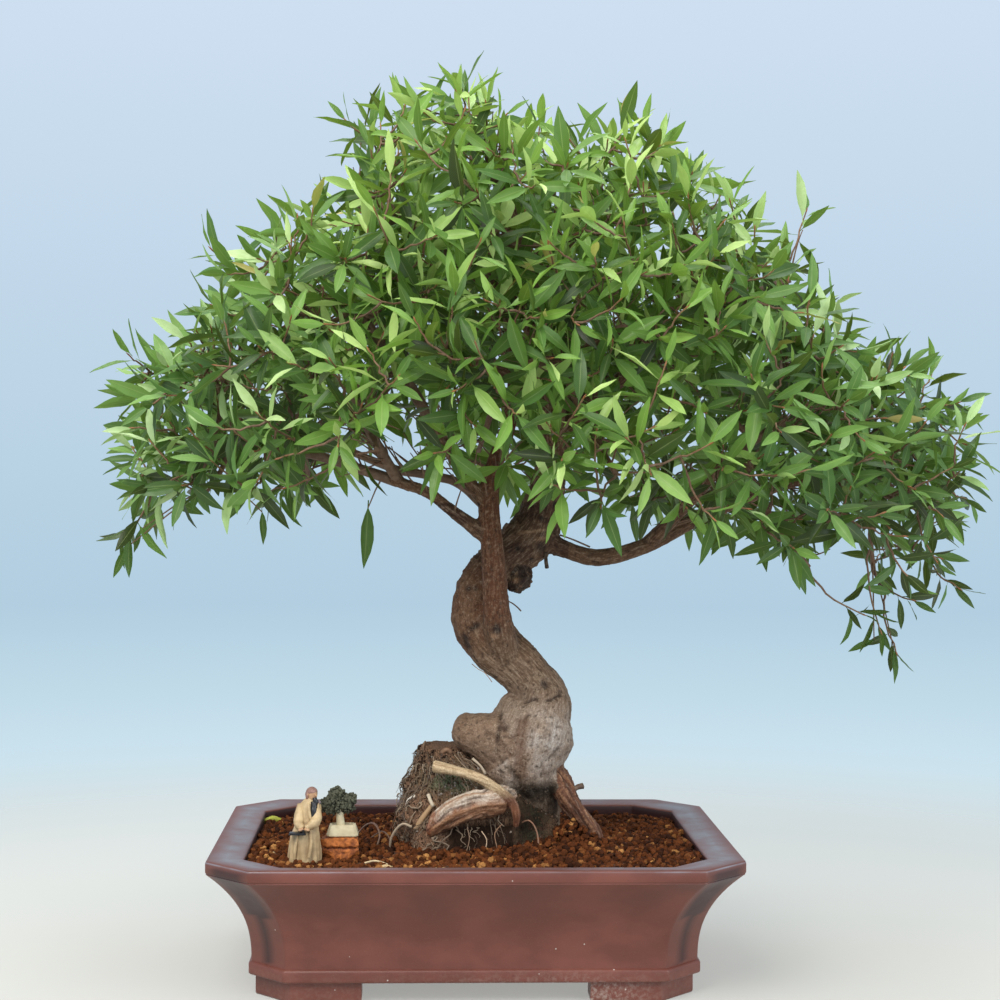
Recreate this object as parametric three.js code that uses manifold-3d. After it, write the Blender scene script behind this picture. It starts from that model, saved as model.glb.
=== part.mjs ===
// A Ficus neriifolia bonsai in its rectangular clay pot: soil, old root ball, trunk and branches,
// leafy sprays, and a small figurine group on the soil.
// Millimetres, +Z up. The front of the pot faces -Y. While it is built, the origin is under the
// pot's centre; the finished group is moved so that the origin lies under the centre of its box.

import * as THREE from "three";
import { mergeVertices } from "three/addons/utils/BufferGeometryUtils.js";
import Module from "manifold-3d";

const wasm = await Module();
wasm.setup();

// General
const GAP = 0.3; // clearance between pieces that touch
const CUT_GAP = 0.45; // clearance where a rough piece is let into another
const SINK = 1; // how far a joined piece reaches into the one it grows from

// Pot, over the rim and its height
const POT_LENGTH = 510;
const POT_DEPTH = 385;
const POT_HEIGHT = 134;
const POT_CORNER_CUT = 44;
const CORNER_NARROWING = 0.22; // loss of that cut for each millimetre inside the rim
const RIM_FACE = 12;
const RIM_ROUND = 1.5;
const RIM_TOP_AT_ENDS = 34;
const RIM_TOP_AT_FRONT = 26;
const WALL_FLARE = 41; // how far the wall's foot lies inside the rim
const WALL_CURVE = 2.4; // power of the hollow curve of the walls
const WALL_THICKNESS = 14;
const BAND_HEIGHT = 13;
const BAND_OUT = 2.5;
const BAND_ROUND = 3;
const FOOT_HEIGHT = 20;
const FOOT_INSET = 6.5;
const FOOT_LENGTH = 102;
const FOOT_DEPTH = 80;
const FOOT_WIDTH = 30;
const FLOOR_THICKNESS = 14;
const DRAIN_DIAMETER = 30;
const DRAIN_X = 120;
const OUTSIDE_LEVELS = [0, 0.25, 0.45, 0.62, 0.76, 0.89, 1]; // shares of the wall's height
const INSIDE_LEVELS = [132, 112, 95, 78, 60]; // heights, from the sloping rim's inner edge down

// Drain screens
const SCREEN_SIDE = 46;
const SCREEN_THICKNESS = 2;
const SCREEN_HOLES = 2;
const SCREEN_BAR = 6;

// Soil surface
const SOIL_HEIGHT = 123.5;
const SOIL_SLOPE = -0.0225; // lower towards the back
const SOIL_MOUND = 11;
const SOIL_MOUND_RADIUS = 95;
const SOIL_RELIEF = 1.3;
const SOIL_RINGS = [0, 0.14, 0.3, 0.46, 0.62, 0.78, 0.9]; // shares of the way to the middle
const SOIL_PARTS = 2; // points on each side of a ring

// Leaves and sprays
const LEAF_LENGTH = 62;
const LEAF_WIDTH = 14;
const LEAF_THICKNESS = 1.7;
const LEAF_SECTIONS = [[0.26, 0.88], [0.64, 0.88]]; // along the leaf, and its width there
const LEAF_SAG = 0.1;
const LEAF_ROOM = 0.4; // free room kept round a leaf
const LEAF_OPENING = [0.2, 0.8, 1.4]; // radians from the shoot: end, forward and lower leaves
const LEAF_OPENING_SPREAD = 0.28;
const LEAF_TRIES = 6;
const LEAF_TURN = 0.3; // a leaf without room is turned so far round its shoot
const OVERLAP = 2e-4; // mm3, taken as none
const BUD_RADIUS = 2.7;
const SPRAY_LEAVES = [5, 4, 4]; // on the middle shoot and on the two at its sides
const SPRAY_PITCH = 180; // distance between neighbouring sprays over the canopy
const SPRAY_REACH = 74; // from a spray's butt to its middle shoot tip
const SPRAY_SPREAD = 58; // from the middle shoot tip to the side tips
const SIDE_SHOOT_BACK = [14, 24]; // and how far those lie behind it
const SPRAY_INSET = 40; // how far the shoot tips lie inside the canopy's outline
const SPRAY_SCATTER = 26; // along X
const SPRAY_DROOP = [0.1, 0.5]; // how much leaves hang at the top and at the lower edge
const SHOOT_STEPS = [ // where a shoot tip may stand instead when its own place is taken
  [0, 0], [9, 0], [-9, 0], [0, 9], [0, -9], [18, 9], [-18, 9], [18, -9], [-18, -9], [0, 26], [0, -26],
];
const SHARPEST_TURN = 1.15; // radians, from a carrying twig into its spray
const TWIG_RADIUS = 2.5;
const CARRIER_RADIUS = 4.5; // the thickest twig that carries a spray

// Canopy outline from the front, as x and z: its top edge and its lower edge, left to right
const CANOPY_TOP = [
  [-391, 585], [-340, 640], [-290, 712], [-190, 775], [-145, 855], [-19, 934],
  [144, 885], [226, 835], [330, 738], [413, 668], [486, 620], [539, 505],
];
const CANOPY_BASE = [
  [-391, 540], [-366, 394], [-318, 424], [-273, 455], [-187, 440], [-77, 480],
  [45, 470], [127, 445], [230, 440], [292, 412], [386, 330], [433, 290], [510, 372], [539, 480],
];
const CANOPY_CENTRE_X = 74;
const CANOPY_HALF_LENGTH = 480;
const CANOPY_HALF_DEPTH = 288;
const CANOPY_FLOOR = 430; // height under which leaves no longer face upwards
const CANOPY_FULLNESS = 0.85; // power that rounds the canopy's shoulders
const CANOPY_SLICES = [-304, -215, -108, 5, 122, 241, 358, 474];
const CROWN_FORK = new THREE.Vector3(50, 0, 440);

// Wood, as stations of x, y, z and radius along each limb
const TRUNK = [
  [68, 16, 108, 24], [66, 14, 150, 24], [61, 3, 178, 30], [50, -9, 206, 40], [57, -10, 236, 43.5],
  [62, -9, 254, 39], [67, -8, 271, 30], [57, -7, 290, 25], [39, -5, 309, 26], [20, -3, 325, 26.5],
  [6, 0, 344, 26.5], [1, 2, 367, 23.5], [7, 7, 388, 23], [23, 14, 405, 24], [44, 20, 421, 25],
  [62, 24, 442, 24], [73, 26, 480, 19],
];
const BURL = [
  [30, 14, 406, 17], [44, 9, 395, 15.5], [41, 3, 386, 11.5], [38, 0, 381, 6],
];
const LEADER = [
  [74, 26, 478, 19], [80, 22, 530, 15], [72, 12, 600, 12], [56, 4, 680, 9], [34, 0, 760, 7],
  [6, 0, 835, 4],
];
const LOBE = [
  [-20, -10, 240, 9], [-12, -12, 239, 18], [2, -14, 235, 24], [22, -14, 229, 32], [42, -13, 226, 37],
];
const FRONT_STEM = [
  [32, -18, 316, 15], [23, -31, 345, 16], [20, -37, 376, 13], [16, -41, 428, 11.2], [12, -41, 470, 10.4],
  [18, -40, 508, 8.5], [32, -38, 550, 7.5], [36, -36, 620, 6], [20, -34, 700, 4.5],
];
const ROOTS = [
  // right root, cut root with its end in the air, and fat root under it
  [[74, -12, 204, 12], [87, -18, 188, 12.5], [96, -23, 171, 12], [107, -28, 154, 11], [119, -31, 138, 8.5],
    [131, -33, 112, 5]],
  [[-42, -66, 211, 6.6], [-18, -73, 207, 5.4], [4, -78, 201, 5], [22, -76, 189, 5.2], [35, -74, 178, 4.8],
    [40, -75, 166, 4.4], [40, -70, 152, 3.4]],
  [[-46, -74, 147, 6], [-34, -78, 158, 11.5], [-20, -80, 169, 13.5], [0, -78, 175, 13.8],
    [18, -70, 176, 12.4], [28, -52, 176, 11], [34, -16, 174, 15]],
  // roots at the back
  [[66, 8, 178, 13], [96, 26, 160, 10], [120, 42, 134, 7.5], [134, 52, 110, 5]],
  [[44, 20, 182, 14], [16, 52, 156, 11], [-8, 76, 126, 8], [-16, 86, 106, 6]],
];
const BOUGHS = [
  // left branch and the one above it
  [[13, -40, 434, 8], [-22, -48, 460, 6.5], [-48, -54, 479, 6], [-78, -58, 490, 5.5],
    [-174, -62, 519, 4.8], [-262, -52, 526, 3.6]],
  [[11, -38, 464, 6], [-16, -34, 488, 5], [-48, -28, 497, 4.6], [-80, -18, 502, 4.2],
    [-140, 24, 524, 4], [-220, 70, 542, 3.2]],
  // right branch
  [[62, 20, 436, 13], [94, 22, 421, 9.5], [130, 24, 413, 9], [181, 26, 427, 8.5], [236, 36, 455, 8],
    [302, 50, 482, 7], [370, 56, 498, 6], [440, 44, 486, 4]],
  // left fork of the front stem
  [[12, -41, 466, 8], [-12, -46, 496, 6.5], [-40, -60, 540, 6], [-84, -80, 610, 5], [-130, -90, 670, 4]],
  // boughs of the upper trunk
  [[78, 24, 520, 10], [110, 40, 560, 8.5], [180, 30, 620, 7], [260, 10, 672, 5.5], [320, 0, 700, 4]],
  [[74, 16, 570, 9], [40, 60, 600, 8], [-30, 110, 630, 6.5], [-110, 140, 650, 5], [-180, 140, 640, 4]],
  [[76, 20, 540, 10], [110, 90, 580, 8.5], [150, 160, 610, 6.5], [190, 200, 630, 4.5]],
  [[66, 8, 630, 8], [20, -10, 690, 6.5], [-60, -10, 740, 5], [-120, 0, 770, 4]],
  [[34, -38, 560, 7], [70, -90, 590, 6.5], [120, -150, 630, 5.5], [160, -180, 640, 4]],
  [[181, 26, 429, 8], [214, -20, 470, 6.5], [250, -90, 520, 5.5], [290, -140, 550, 4]],
  [[60, 6, 665, 7.5], [80, 70, 720, 6], [90, 120, 760, 4.5]],
  [[-78, -58, 491, 5.5], [-100, -100, 530, 5], [-120, -160, 570, 4]],
];

// Root ball, as height, centre x, centre y and half sizes of its levels
const ROOT_BALL = [
  [92, 2, -4, 80, 74], [128, 2, -4, 82, 80], [158, -2, -2, 72, 74], [188, -12, 0, 50, 62],
  [210, -27, 2, 30, 46], [222, -32, 3, 20, 32],
];

// Figurine group, standing on the soil at the front left
const SCHOLAR_AT = [-164, -116];
const ROCK_AT = [-130, -100];
const FIGURE_GROUND = 127;
const ROCK_HEIGHT = 22;
const PLANTER_HEIGHT = 11.5;

// Colours, roughness
const CLAY = { color: 0x70493f, roughness: 0.5 };
const SOIL = { color: 0x9a6236, roughness: 1 };
const OLD_SOIL = { color: 0x4a3c2c, roughness: 1 };
const BARK = { color: 0x83684f, roughness: 0.85 };
const MESH_PLASTIC = { color: 0x20241f, roughness: 0.6 };
const ROBE = { color: 0xc4a87c, roughness: 0.7 };
const ROCK = { color: 0xa96a34, roughness: 0.9 };
const CREAM = { color: 0xd9c9a2, roughness: 0.7 };
const MINI_GREEN = { color: 0x3f4a38, roughness: 0.95 };
const LEAF_DARK = new THREE.Color(0x466a35);
const LEAF_LIGHT = new THREE.Color(0x86ab4f);
const LEAF_ROUGHNESS = 0.45;

const vec = (x, y, z) => new THREE.Vector3(x, y, z);
const mix = THREE.MathUtils.lerp;
const UP = vec(0, 0, 1);
const GOLDEN_ANGLE = Math.PI * (3 - Math.sqrt(5));

// Seeded random numbers from 0 to 1.
function randomFrom(seed) {
  let state = seed >>> 0;
  return () => {
    state = (state + 0x6d2b79f5) >>> 0;
    let t = Math.imul(state ^ (state >>> 15), state | 1);
    t ^= t + Math.imul(t ^ (t >>> 7), t | 61);
    return ((t ^ (t >>> 14)) >>> 0) / 4294967296;
  };
}

// The z of a line given as [x, z] points, at x.
function along(line, x) {
  const k = Math.min(Math.max(line.findIndex((p) => p[0] > x), 1), line.length - 1);
  const [[x0, z0], [x1, z1]] = [line[k - 1], line[k]];
  return mix(z0, z1, Math.min(Math.max((x - x0) / (x1 - x0), 0), 1));
}

// Solids

function solidOf(geometry) {
  const bare = new THREE.BufferGeometry().setAttribute("position", geometry.getAttribute("position"));
  bare.setIndex(geometry.index);
  const merged = mergeVertices(bare, 1e-4);
  return new wasm.Manifold(
    new wasm.Mesh({
      numProp: 3,
      vertProperties: merged.attributes.position.array,
      triVerts: new Uint32Array(merged.index.array),
    }),
  );
}

const join = (solids) => solids.reduce((sum, one) => sum.add(one));

// The biggest body of a solid, without the scraps a cut may leave.
function biggest(solid) {
  return solid.decompose().reduce((a, b) => (a.volume() > b.volume() ? a : b));
}

// A closed solid through rings of points, counter-clockwise round the way they follow each other,
// with a point closing each end: the middle of the end ring where none is given.
function loft(rings, startPoint, endPoint) {
  const sides = rings[0].length;
  const middle = (ring) => ring.reduce((sum, p) => sum.add(p), vec(0, 0, 0)).divideScalar(sides);
  const points = [...rings.flat(), startPoint ?? middle(rings[0]), endPoint ?? middle(rings.at(-1))];
  const start = rings.length * sides;
  const lastRing = start - sides;
  const index = [];
  for (let s = 0; s < sides; s++) {
    const next = (s + 1) % sides;
    index.push(start, next, s, start + 1, lastRing + s, lastRing + next);
    for (let r = 0; r + 1 < rings.length; r++) {
      const [a, b] = [r * sides + s, r * sides + next];
      index.push(a, b, b + sides, a, b + sides, a + sides);
    }
  }
  return new THREE.BufferGeometry().setFromPoints(points).setIndex(index);
}

// A ring of eight corners: a rectangle with cut corners, each side split into equal parts.
function cutCorners(halfX, halfY, cut, height, parts = 1) {
  const corners = [
    [halfX, cut - halfY], [halfX, halfY - cut], [halfX - cut, halfY], [cut - halfX, halfY],
    [-halfX, halfY - cut], [-halfX, cut - halfY], [cut - halfX, -halfY], [halfX - cut, -halfY],
  ];
  return corners.flatMap(([x, y], i) => {
    const [nx, ny] = corners[(i + 1) % corners.length];
    return Array.from({ length: parts }, (_, k) => {
      const [px, py] = [mix(x, nx, k / parts), mix(y, ny, k / parts)];
      return vec(px, py, typeof height === "function" ? height(px, py) : height);
    });
  });
}

// A level ring round an ellipse, with an optional bump that depends on the angle and height.
function ellipseRing(cx, cy, rx, ry, z, sides, bump = () => 1) {
  return Array.from({ length: sides }, (_, i) => {
    const a = (2 * Math.PI * i) / sides;
    const k = bump(a, z);
    return vec(cx + rx * k * Math.cos(a), cy + ry * k * Math.sin(a), z);
  });
}

// The curve through the stations of a limb, with its radius at a share of the way.
function course(stations) {
  const centres = stations.map(([x, y, z]) => vec(x, y, z));
  const curve = new THREE.CatmullRomCurve3(centres, false, "catmullrom");
  const last = stations.length - 1;
  const radiusAt = (t) => {
    const k = Math.min(Math.floor(t * last), last - 1);
    return mix(stations[k][3], stations[k + 1][3], t * last - k);
  };
  return { curve, radiusAt };
}

// A point on a ring round a centre, with two directions across the ring.
const onRing = (centre, first, second, radius, angle) =>
  centre
    .clone()
    .addScaledVector(first, radius * Math.cos(angle))
    .addScaledVector(second, radius * Math.sin(angle));

// A round limb through stations of x, y, z and radius. It can be grown to make room for itself.
function limb(stations, sides, steps, ripple = 0, grow = 0) {
  const { curve, radiusAt } = course(stations);
  let side = vec(0.31, 0.95, 0.05);
  const rings = Array.from({ length: steps + 1 }, (_, i) => {
    const t = i / steps;
    const tangent = curve.getTangent(t);
    side = side.clone().addScaledVector(tangent, -side.dot(tangent)).normalize();
    const across = tangent.clone().cross(side);
    const push = (i === 0 ? -grow : 0) + (i === steps ? grow : 0);
    const centre = curve.getPoint(t).addScaledVector(tangent, push);
    return Array.from({ length: sides }, (_, s) => {
      const a = (2 * Math.PI * s) / sides;
      const waves = Math.sin(2 * a + 0.9 * i) + 0.6 * Math.sin(3 * a - 1.7 * i);
      return onRing(centre, side, across, (radiusAt(t) + grow) * (1 + ripple * waves), a);
    });
  });
  return solidOf(loft(rings));
}

// Pot

const wallInset = (z) => {
  const t = (z - FOOT_HEIGHT - BAND_HEIGHT) / (POT_HEIGHT - RIM_FACE - FOOT_HEIGHT - BAND_HEIGHT);
  return WALL_FLARE * (1 - Math.pow(Math.max(t, 0), WALL_CURVE));
};

// One level of the pot, so far inside the rim along X and along Y.
function potLevel(z, insetX, insetY = insetX, parts = 1) {
  const cut = POT_CORNER_CUT - CORNER_NARROWING * Math.min(insetX, insetY);
  return cutCorners(POT_LENGTH / 2 - insetX, POT_DEPTH / 2 - insetY, cut, z, parts);
}

// The inside of the pot from the mouth down: height, and how far inside the rim along X and Y.
const FLOOR = FOOT_HEIGHT + FLOOR_THICKNESS;
const INSIDE = [...INSIDE_LEVELS, FLOOR].map((z) => {
  const wall = wallInset(z) + WALL_THICKNESS;
  return [z, Math.max(RIM_TOP_AT_ENDS, wall), Math.max(RIM_TOP_AT_FRONT, wall)];
});

function drainHole(x) {
  const ring = (z) => ellipseRing(x, 0, DRAIN_DIAMETER / 2, DRAIN_DIAMETER / 2, z, 16);
  return solidOf(loft([ring(FOOT_HEIGHT - SINK), ring(FLOOR + SINK)]));
}

// An L-shaped foot under one corner.
function foot(signX, signY) {
  const endX = POT_LENGTH / 2 - WALL_FLARE + BAND_OUT - FOOT_INSET;
  const endY = POT_DEPTH / 2 - WALL_FLARE + BAND_OUT - FOOT_INSET;
  const cut = POT_CORNER_CUT - CORNER_NARROWING * WALL_FLARE;
  const outline = [
    [endX, endY - FOOT_DEPTH], [endX, endY - cut], [endX - cut, endY], [endX - FOOT_LENGTH, endY],
    [endX - FOOT_LENGTH, endY - FOOT_WIDTH], [endX - FOOT_WIDTH - cut / 2, endY - FOOT_WIDTH],
    [endX - FOOT_WIDTH, endY - FOOT_WIDTH - cut / 2], [endX - FOOT_WIDTH, endY - FOOT_DEPTH],
  ];
  const shape = new THREE.Shape(outline.map(([x, y]) => new THREE.Vector2(signX * x, signY * y)));
  return solidOf(new THREE.ExtrudeGeometry(shape, { depth: FOOT_HEIGHT + SINK, bevelEnabled: false }));
}

function makePot() {
  const bandTop = FOOT_HEIGHT + BAND_HEIGHT;
  const rimLow = POT_HEIGHT - RIM_FACE;
  const band = WALL_FLARE - BAND_OUT;
  const wall = OUTSIDE_LEVELS.map((t) => mix(bandTop, rimLow, t));
  const levels = [
    potLevel(FOOT_HEIGHT, band + BAND_ROUND / 2),
    potLevel(FOOT_HEIGHT + BAND_ROUND, band),
    potLevel(bandTop - BAND_ROUND, band),
    potLevel(bandTop - BAND_ROUND / 4, band + BAND_ROUND / 2),
    ...wall.map((z) => potLevel(z, wallInset(z))),
    potLevel(POT_HEIGHT - RIM_ROUND, 0),
    potLevel(POT_HEIGHT, RIM_ROUND),
    ...INSIDE.map(([z, insetX, insetY]) => potLevel(z, insetX, insetY)),
  ];
  const body = solidOf(loft(levels));
  const feet = [[1, 1], [1, -1], [-1, 1], [-1, -1]].map(([x, y]) => foot(x, y));
  return join([body, ...feet]).subtract(join([drainHole(-DRAIN_X), drainHole(DRAIN_X)]));
}

// A plain block from one corner to the other, used to cut room.
function block(low, high) {
  const size = high.map((h, i) => h - low[i]);
  const geometry = new THREE.BoxGeometry(...size);
  return solidOf(geometry.translate(...low.map((l, i) => l + size[i] / 2)));
}

// A square mesh screen lying over a drain hole.
function makeScreen(x) {
  const half = SCREEN_SIDE / 2;
  const hole = (SCREEN_SIDE - SCREEN_BAR * (SCREEN_HOLES + 1)) / SCREEN_HOLES;
  const low = FLOOR + GAP;
  const holes = [];
  for (let i = 0; i < SCREEN_HOLES; i++)
    for (let k = 0; k < SCREEN_HOLES; k++) {
      const edge = (n) => SCREEN_BAR - half + n * (hole + SCREEN_BAR);
      const corner = [x + edge(i), edge(k), low - SINK];
      const opposite = [corner[0] + hole, corner[1] + hole, low + SCREEN_THICKNESS + SINK];
      holes.push(block(corner, opposite));
    }
  return block([x - half, -half, low], [x + half, half, low + SCREEN_THICKNESS]).subtract(join(holes));
}

// Soil and root ball

function soilHeight(x, y) {
  const rise = SOIL_MOUND * Math.exp(-((x - 30) ** 2 + (y + 10) ** 2) / SOIL_MOUND_RADIUS ** 2);
  const waves = Math.sin(x / 13 + 1) * Math.cos(y / 11) + 0.5 * Math.sin(x / 5.7 - y / 7.3);
  return SOIL_HEIGHT + SOIL_SLOPE * y + rise + SOIL_RELIEF * waves;
}

function makeSoil(room) {
  const walls = INSIDE.slice(1)
    .reverse()
    .map(([z, x, y], i) => potLevel(z + (i === 0 ? GAP : 0), x + CUT_GAP, y + CUT_GAP, SOIL_PARTS));
  const [, mouthX, mouthY] = INSIDE[1];
  const surface = SOIL_RINGS.map((share) => {
    const halfX = (POT_LENGTH / 2 - mouthX - CUT_GAP) * (1 - share);
    const halfY = (POT_DEPTH / 2 - mouthY - CUT_GAP) * (1 - share);
    const cut = (POT_CORNER_CUT - CORNER_NARROWING * mouthY) * (1 - share);
    return cutCorners(halfX, halfY, cut, soilHeight, SOIL_PARTS);
  });
  const soil = solidOf(loft([...walls, ...surface], undefined, vec(0, 0, soilHeight(0, 0))));
  return biggest(soil.subtract(room));
}

// The old matted root ball, round the foot of the trunk.
function rootBall(grow) {
  const bump = (a, z) => 1 + 0.07 * Math.sin(3 * a + z / 17) + 0.05 * Math.sin(7 * a - z / 9);
  const rings = ROOT_BALL.map(([z, cx, cy, rx, ry], i) =>
    ellipseRing(cx, cy, rx + grow, ry + grow, z + (i === 0 ? -grow : 0), 16, bump));
  return solidOf(loft(rings));
}

// Trunk and branches

// The trunk with its bulge and roots, which stands in the root ball and the soil.
const trunkFoot = (grow) => [
  limb(TRUNK, 10, 20, 0.045, grow),
  limb(LOBE, 9, 5, 0.04, grow),
  limb(BURL, 7, 3, 0.06, grow),
  ...ROOTS.map((root) => limb(root, 5, root.length, 0.05, grow)),
];

const stems = () => [
  limb(LEADER, 7, 7, 0.02),
  limb(FRONT_STEM, 7, 9, 0.02),
  ...BOUGHS.map((bough) => limb(bough, 5, Math.round(1.25 * bough.length - 1))),
];

// Points along the wood, with their radius, that sprays may grow from.
function samples(stations, spacing = 12) {
  const { curve, radiusAt } = course(stations);
  const count = Math.max(2, Math.round(curve.getLength() / spacing));
  return Array.from({ length: count + 1 }, (_, i) => ({
    at: curve.getPoint(i / count),
    radius: radiusAt(i / count),
  }));
}

// Where the sprays stand: arches over the canopy, slice by slice from left to right.
function sprayPlaces() {
  const places = [];
  CANOPY_SLICES.forEach((sliceX, slice) => {
    const share = (sliceX - CANOPY_CENTRE_X) / CANOPY_HALF_LENGTH;
    const depth = CANOPY_HALF_DEPTH * Math.sqrt(1 - share * share) - SPRAY_INSET;
    const low = along(CANOPY_BASE, sliceX);
    const rise = Math.max(along(CANOPY_TOP, sliceX) - SPRAY_INSET - low, 20);
    const arch = Math.PI * Math.sqrt((depth * depth + rise * rise) / 2);
    const count = Math.max(3, Math.round(arch / SPRAY_PITCH) + 1);
    for (let i = 0; i < count; i++) {
      const random = randomFrom(101 * slice + i + 7);
      const turn = (Math.PI * (i + 0.5 * (slice % 2) + 0.25)) / count;
      const x = sliceX + SPRAY_SCATTER * (random() - 0.5);
      const at = vec(x, -depth * Math.cos(turn), low + rise * Math.sin(turn) ** CANOPY_FULLNESS);
      const out = vec(
        (at.x - CANOPY_CENTRE_X) / CANOPY_HALF_LENGTH ** 2,
        at.y / CANOPY_HALF_DEPTH ** 2,
        Math.max(at.z - CANOPY_FLOOR, 0) / CANOPY_FLOOR ** 2,
      ).normalize();
      const droop = mix(...SPRAY_DROOP, Math.min(Math.max((560 - at.z) / 150, 0), 1));
      places.push({ at, out, droop, seed: 1000 + places.length });
    }
  });
  return places;
}

// The twig that carries a spray, from the wood nearest to it on the side of the trunk.
function carry(place, wood) {
  const butt = place.at.clone().addScaledVector(place.out, -SPRAY_REACH);
  const reach = butt.distanceTo(CROWN_FORK);
  const inner = wood.filter((w) => w.at.distanceTo(CROWN_FORK) < reach - TWIG_RADIUS);
  const from = inner.reduce((a, b) => (a.at.distanceTo(butt) < b.at.distanceTo(butt) ? a : b));
  const radius = Math.min(Math.max(0.7 * from.radius, 1.15 * TWIG_RADIUS), CARRIER_RADIUS);
  const sag = -0.1 * from.at.distanceTo(butt);
  const bend = from.at.clone().lerp(butt, 0.5).addScaledVector(place.out, sag);
  return [
    [...from.at, radius],
    [...bend, mix(radius, TWIG_RADIUS, 0.5)],
    [...butt, TWIG_RADIUS],
  ];
}

// Leafy sprays

// The three corners of a triangle round a centre, square to an axis.
function triangle(centre, axis, radius) {
  const first = vec(axis.y + 0.3, axis.z, -axis.x).cross(axis).normalize();
  const second = axis.clone().cross(first);
  return [0, 1, 2].map((i) => onRing(centre, first, second, radius, (2 * Math.PI * i) / 3));
}

// A body grown face by face: each new piece carries on from a three-cornered face of the last one.
class Growth {
  points = [];
  faces = [];

  ring(corners) {
    this.points.push(...corners);
    return [3, 2, 1].map((back) => this.points.length - back);
  }

  corners(ring) {
    return ring.map((i) => this.points[i]);
  }

  close(ring) {
    this.faces.push(...ring);
  }

  // Walls from a ring to new corners, each split along the diagonal that stands out, so that the
  // walls of a twisted joint stay clear of each other.
  carryOn(ring, corners) {
    const next = this.ring(corners);
    ring.forEach((a, i) => {
      const k = (i + 1) % 3;
      const [b, c, d] = [ring[k], next[k], next[i]];
      const from = (index) => this.points[index].clone().sub(this.points[a]);
      const hollow = from(b).cross(from(c)).dot(from(d)) > 0;
      this.faces.push(...(hollow ? [a, b, d, b, c, d] : [a, b, c, a, c, d]));
    });
    return next;
  }

  // A ring's last walls, drawn together in a tip.
  taper(ring, tip) {
    const point = this.points.push(tip) - 1;
    ring.forEach((a, i) => this.close([a, ring[(i + 1) % 3], point]));
  }

  solid() {
    return solidOf(new THREE.BufferGeometry().setFromPoints(this.points).setIndex(this.faces));
  }
}

// A body of its own through three-cornered rings, with a tip where one is given.
function bodyThrough(rings, tip) {
  const growth = new Growth();
  const first = growth.ring(rings[0]);
  growth.close(first.toReversed());
  const last = rings.slice(1).reduce((ring, corners) => growth.carryOn(ring, corners), first);
  if (tip) growth.taper(last, tip);
  else growth.close(last);
  return growth.solid();
}

// A ring of three points, turned so that the joint from another ring to it is the fullest one.
function untwist(from, to) {
  const turns = [0, 1, 2].map((turn) => to.map((_, i) => to[(i + turn) % 3]));
  const room = (ring) => bodyThrough([from, ring]).volume();
  return turns.reduce((a, b) => (room(a) >= room(b) ? a : b));
}

const middleOf = (corners) => corners.reduce((sum, p) => sum.add(p), vec(0, 0, 0)).divideScalar(3);

// The two sections and the tip of a long narrow leaf: slim, with a keel below, bending down.
function leafShape(base, direction, across, length, width, room = 0) {
  const face = across.clone().cross(direction).normalize();
  const middle = (t) =>
    base
      .clone()
      .addScaledVector(direction, length * t)
      .addScaledVector(UP, -LEAF_SAG * length * t * t);
  const sections = LEAF_SECTIONS.map(([t, share]) => {
    const half = (width * share) / 2 + room;
    const centre = middle(t).addScaledVector(face, room);
    return [
      centre.clone().addScaledVector(across, half),
      centre.clone().addScaledVector(face, -LEAF_THICKNESS * Math.sqrt(share) - 2 * room),
      centre.clone().addScaledVector(across, -half),
    ];
  });
  return { sections, tip: middle(1).addScaledVector(direction, room) };
}

const overlaps = (a, b) => {
  const [p, q] = [a.boundingBox(), b.boundingBox()];
  if ([0, 1, 2].some((i) => p.min[i] > q.max[i] || q.min[i] > p.max[i])) return false;
  return a.intersect(b).volume() > OVERLAP;
};

// A direction of length 1, turned from one vector towards another.
const lean = (from, to, angle) =>
  from.clone().multiplyScalar(Math.cos(angle)).addScaledVector(to, Math.sin(angle)).normalize();

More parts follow.
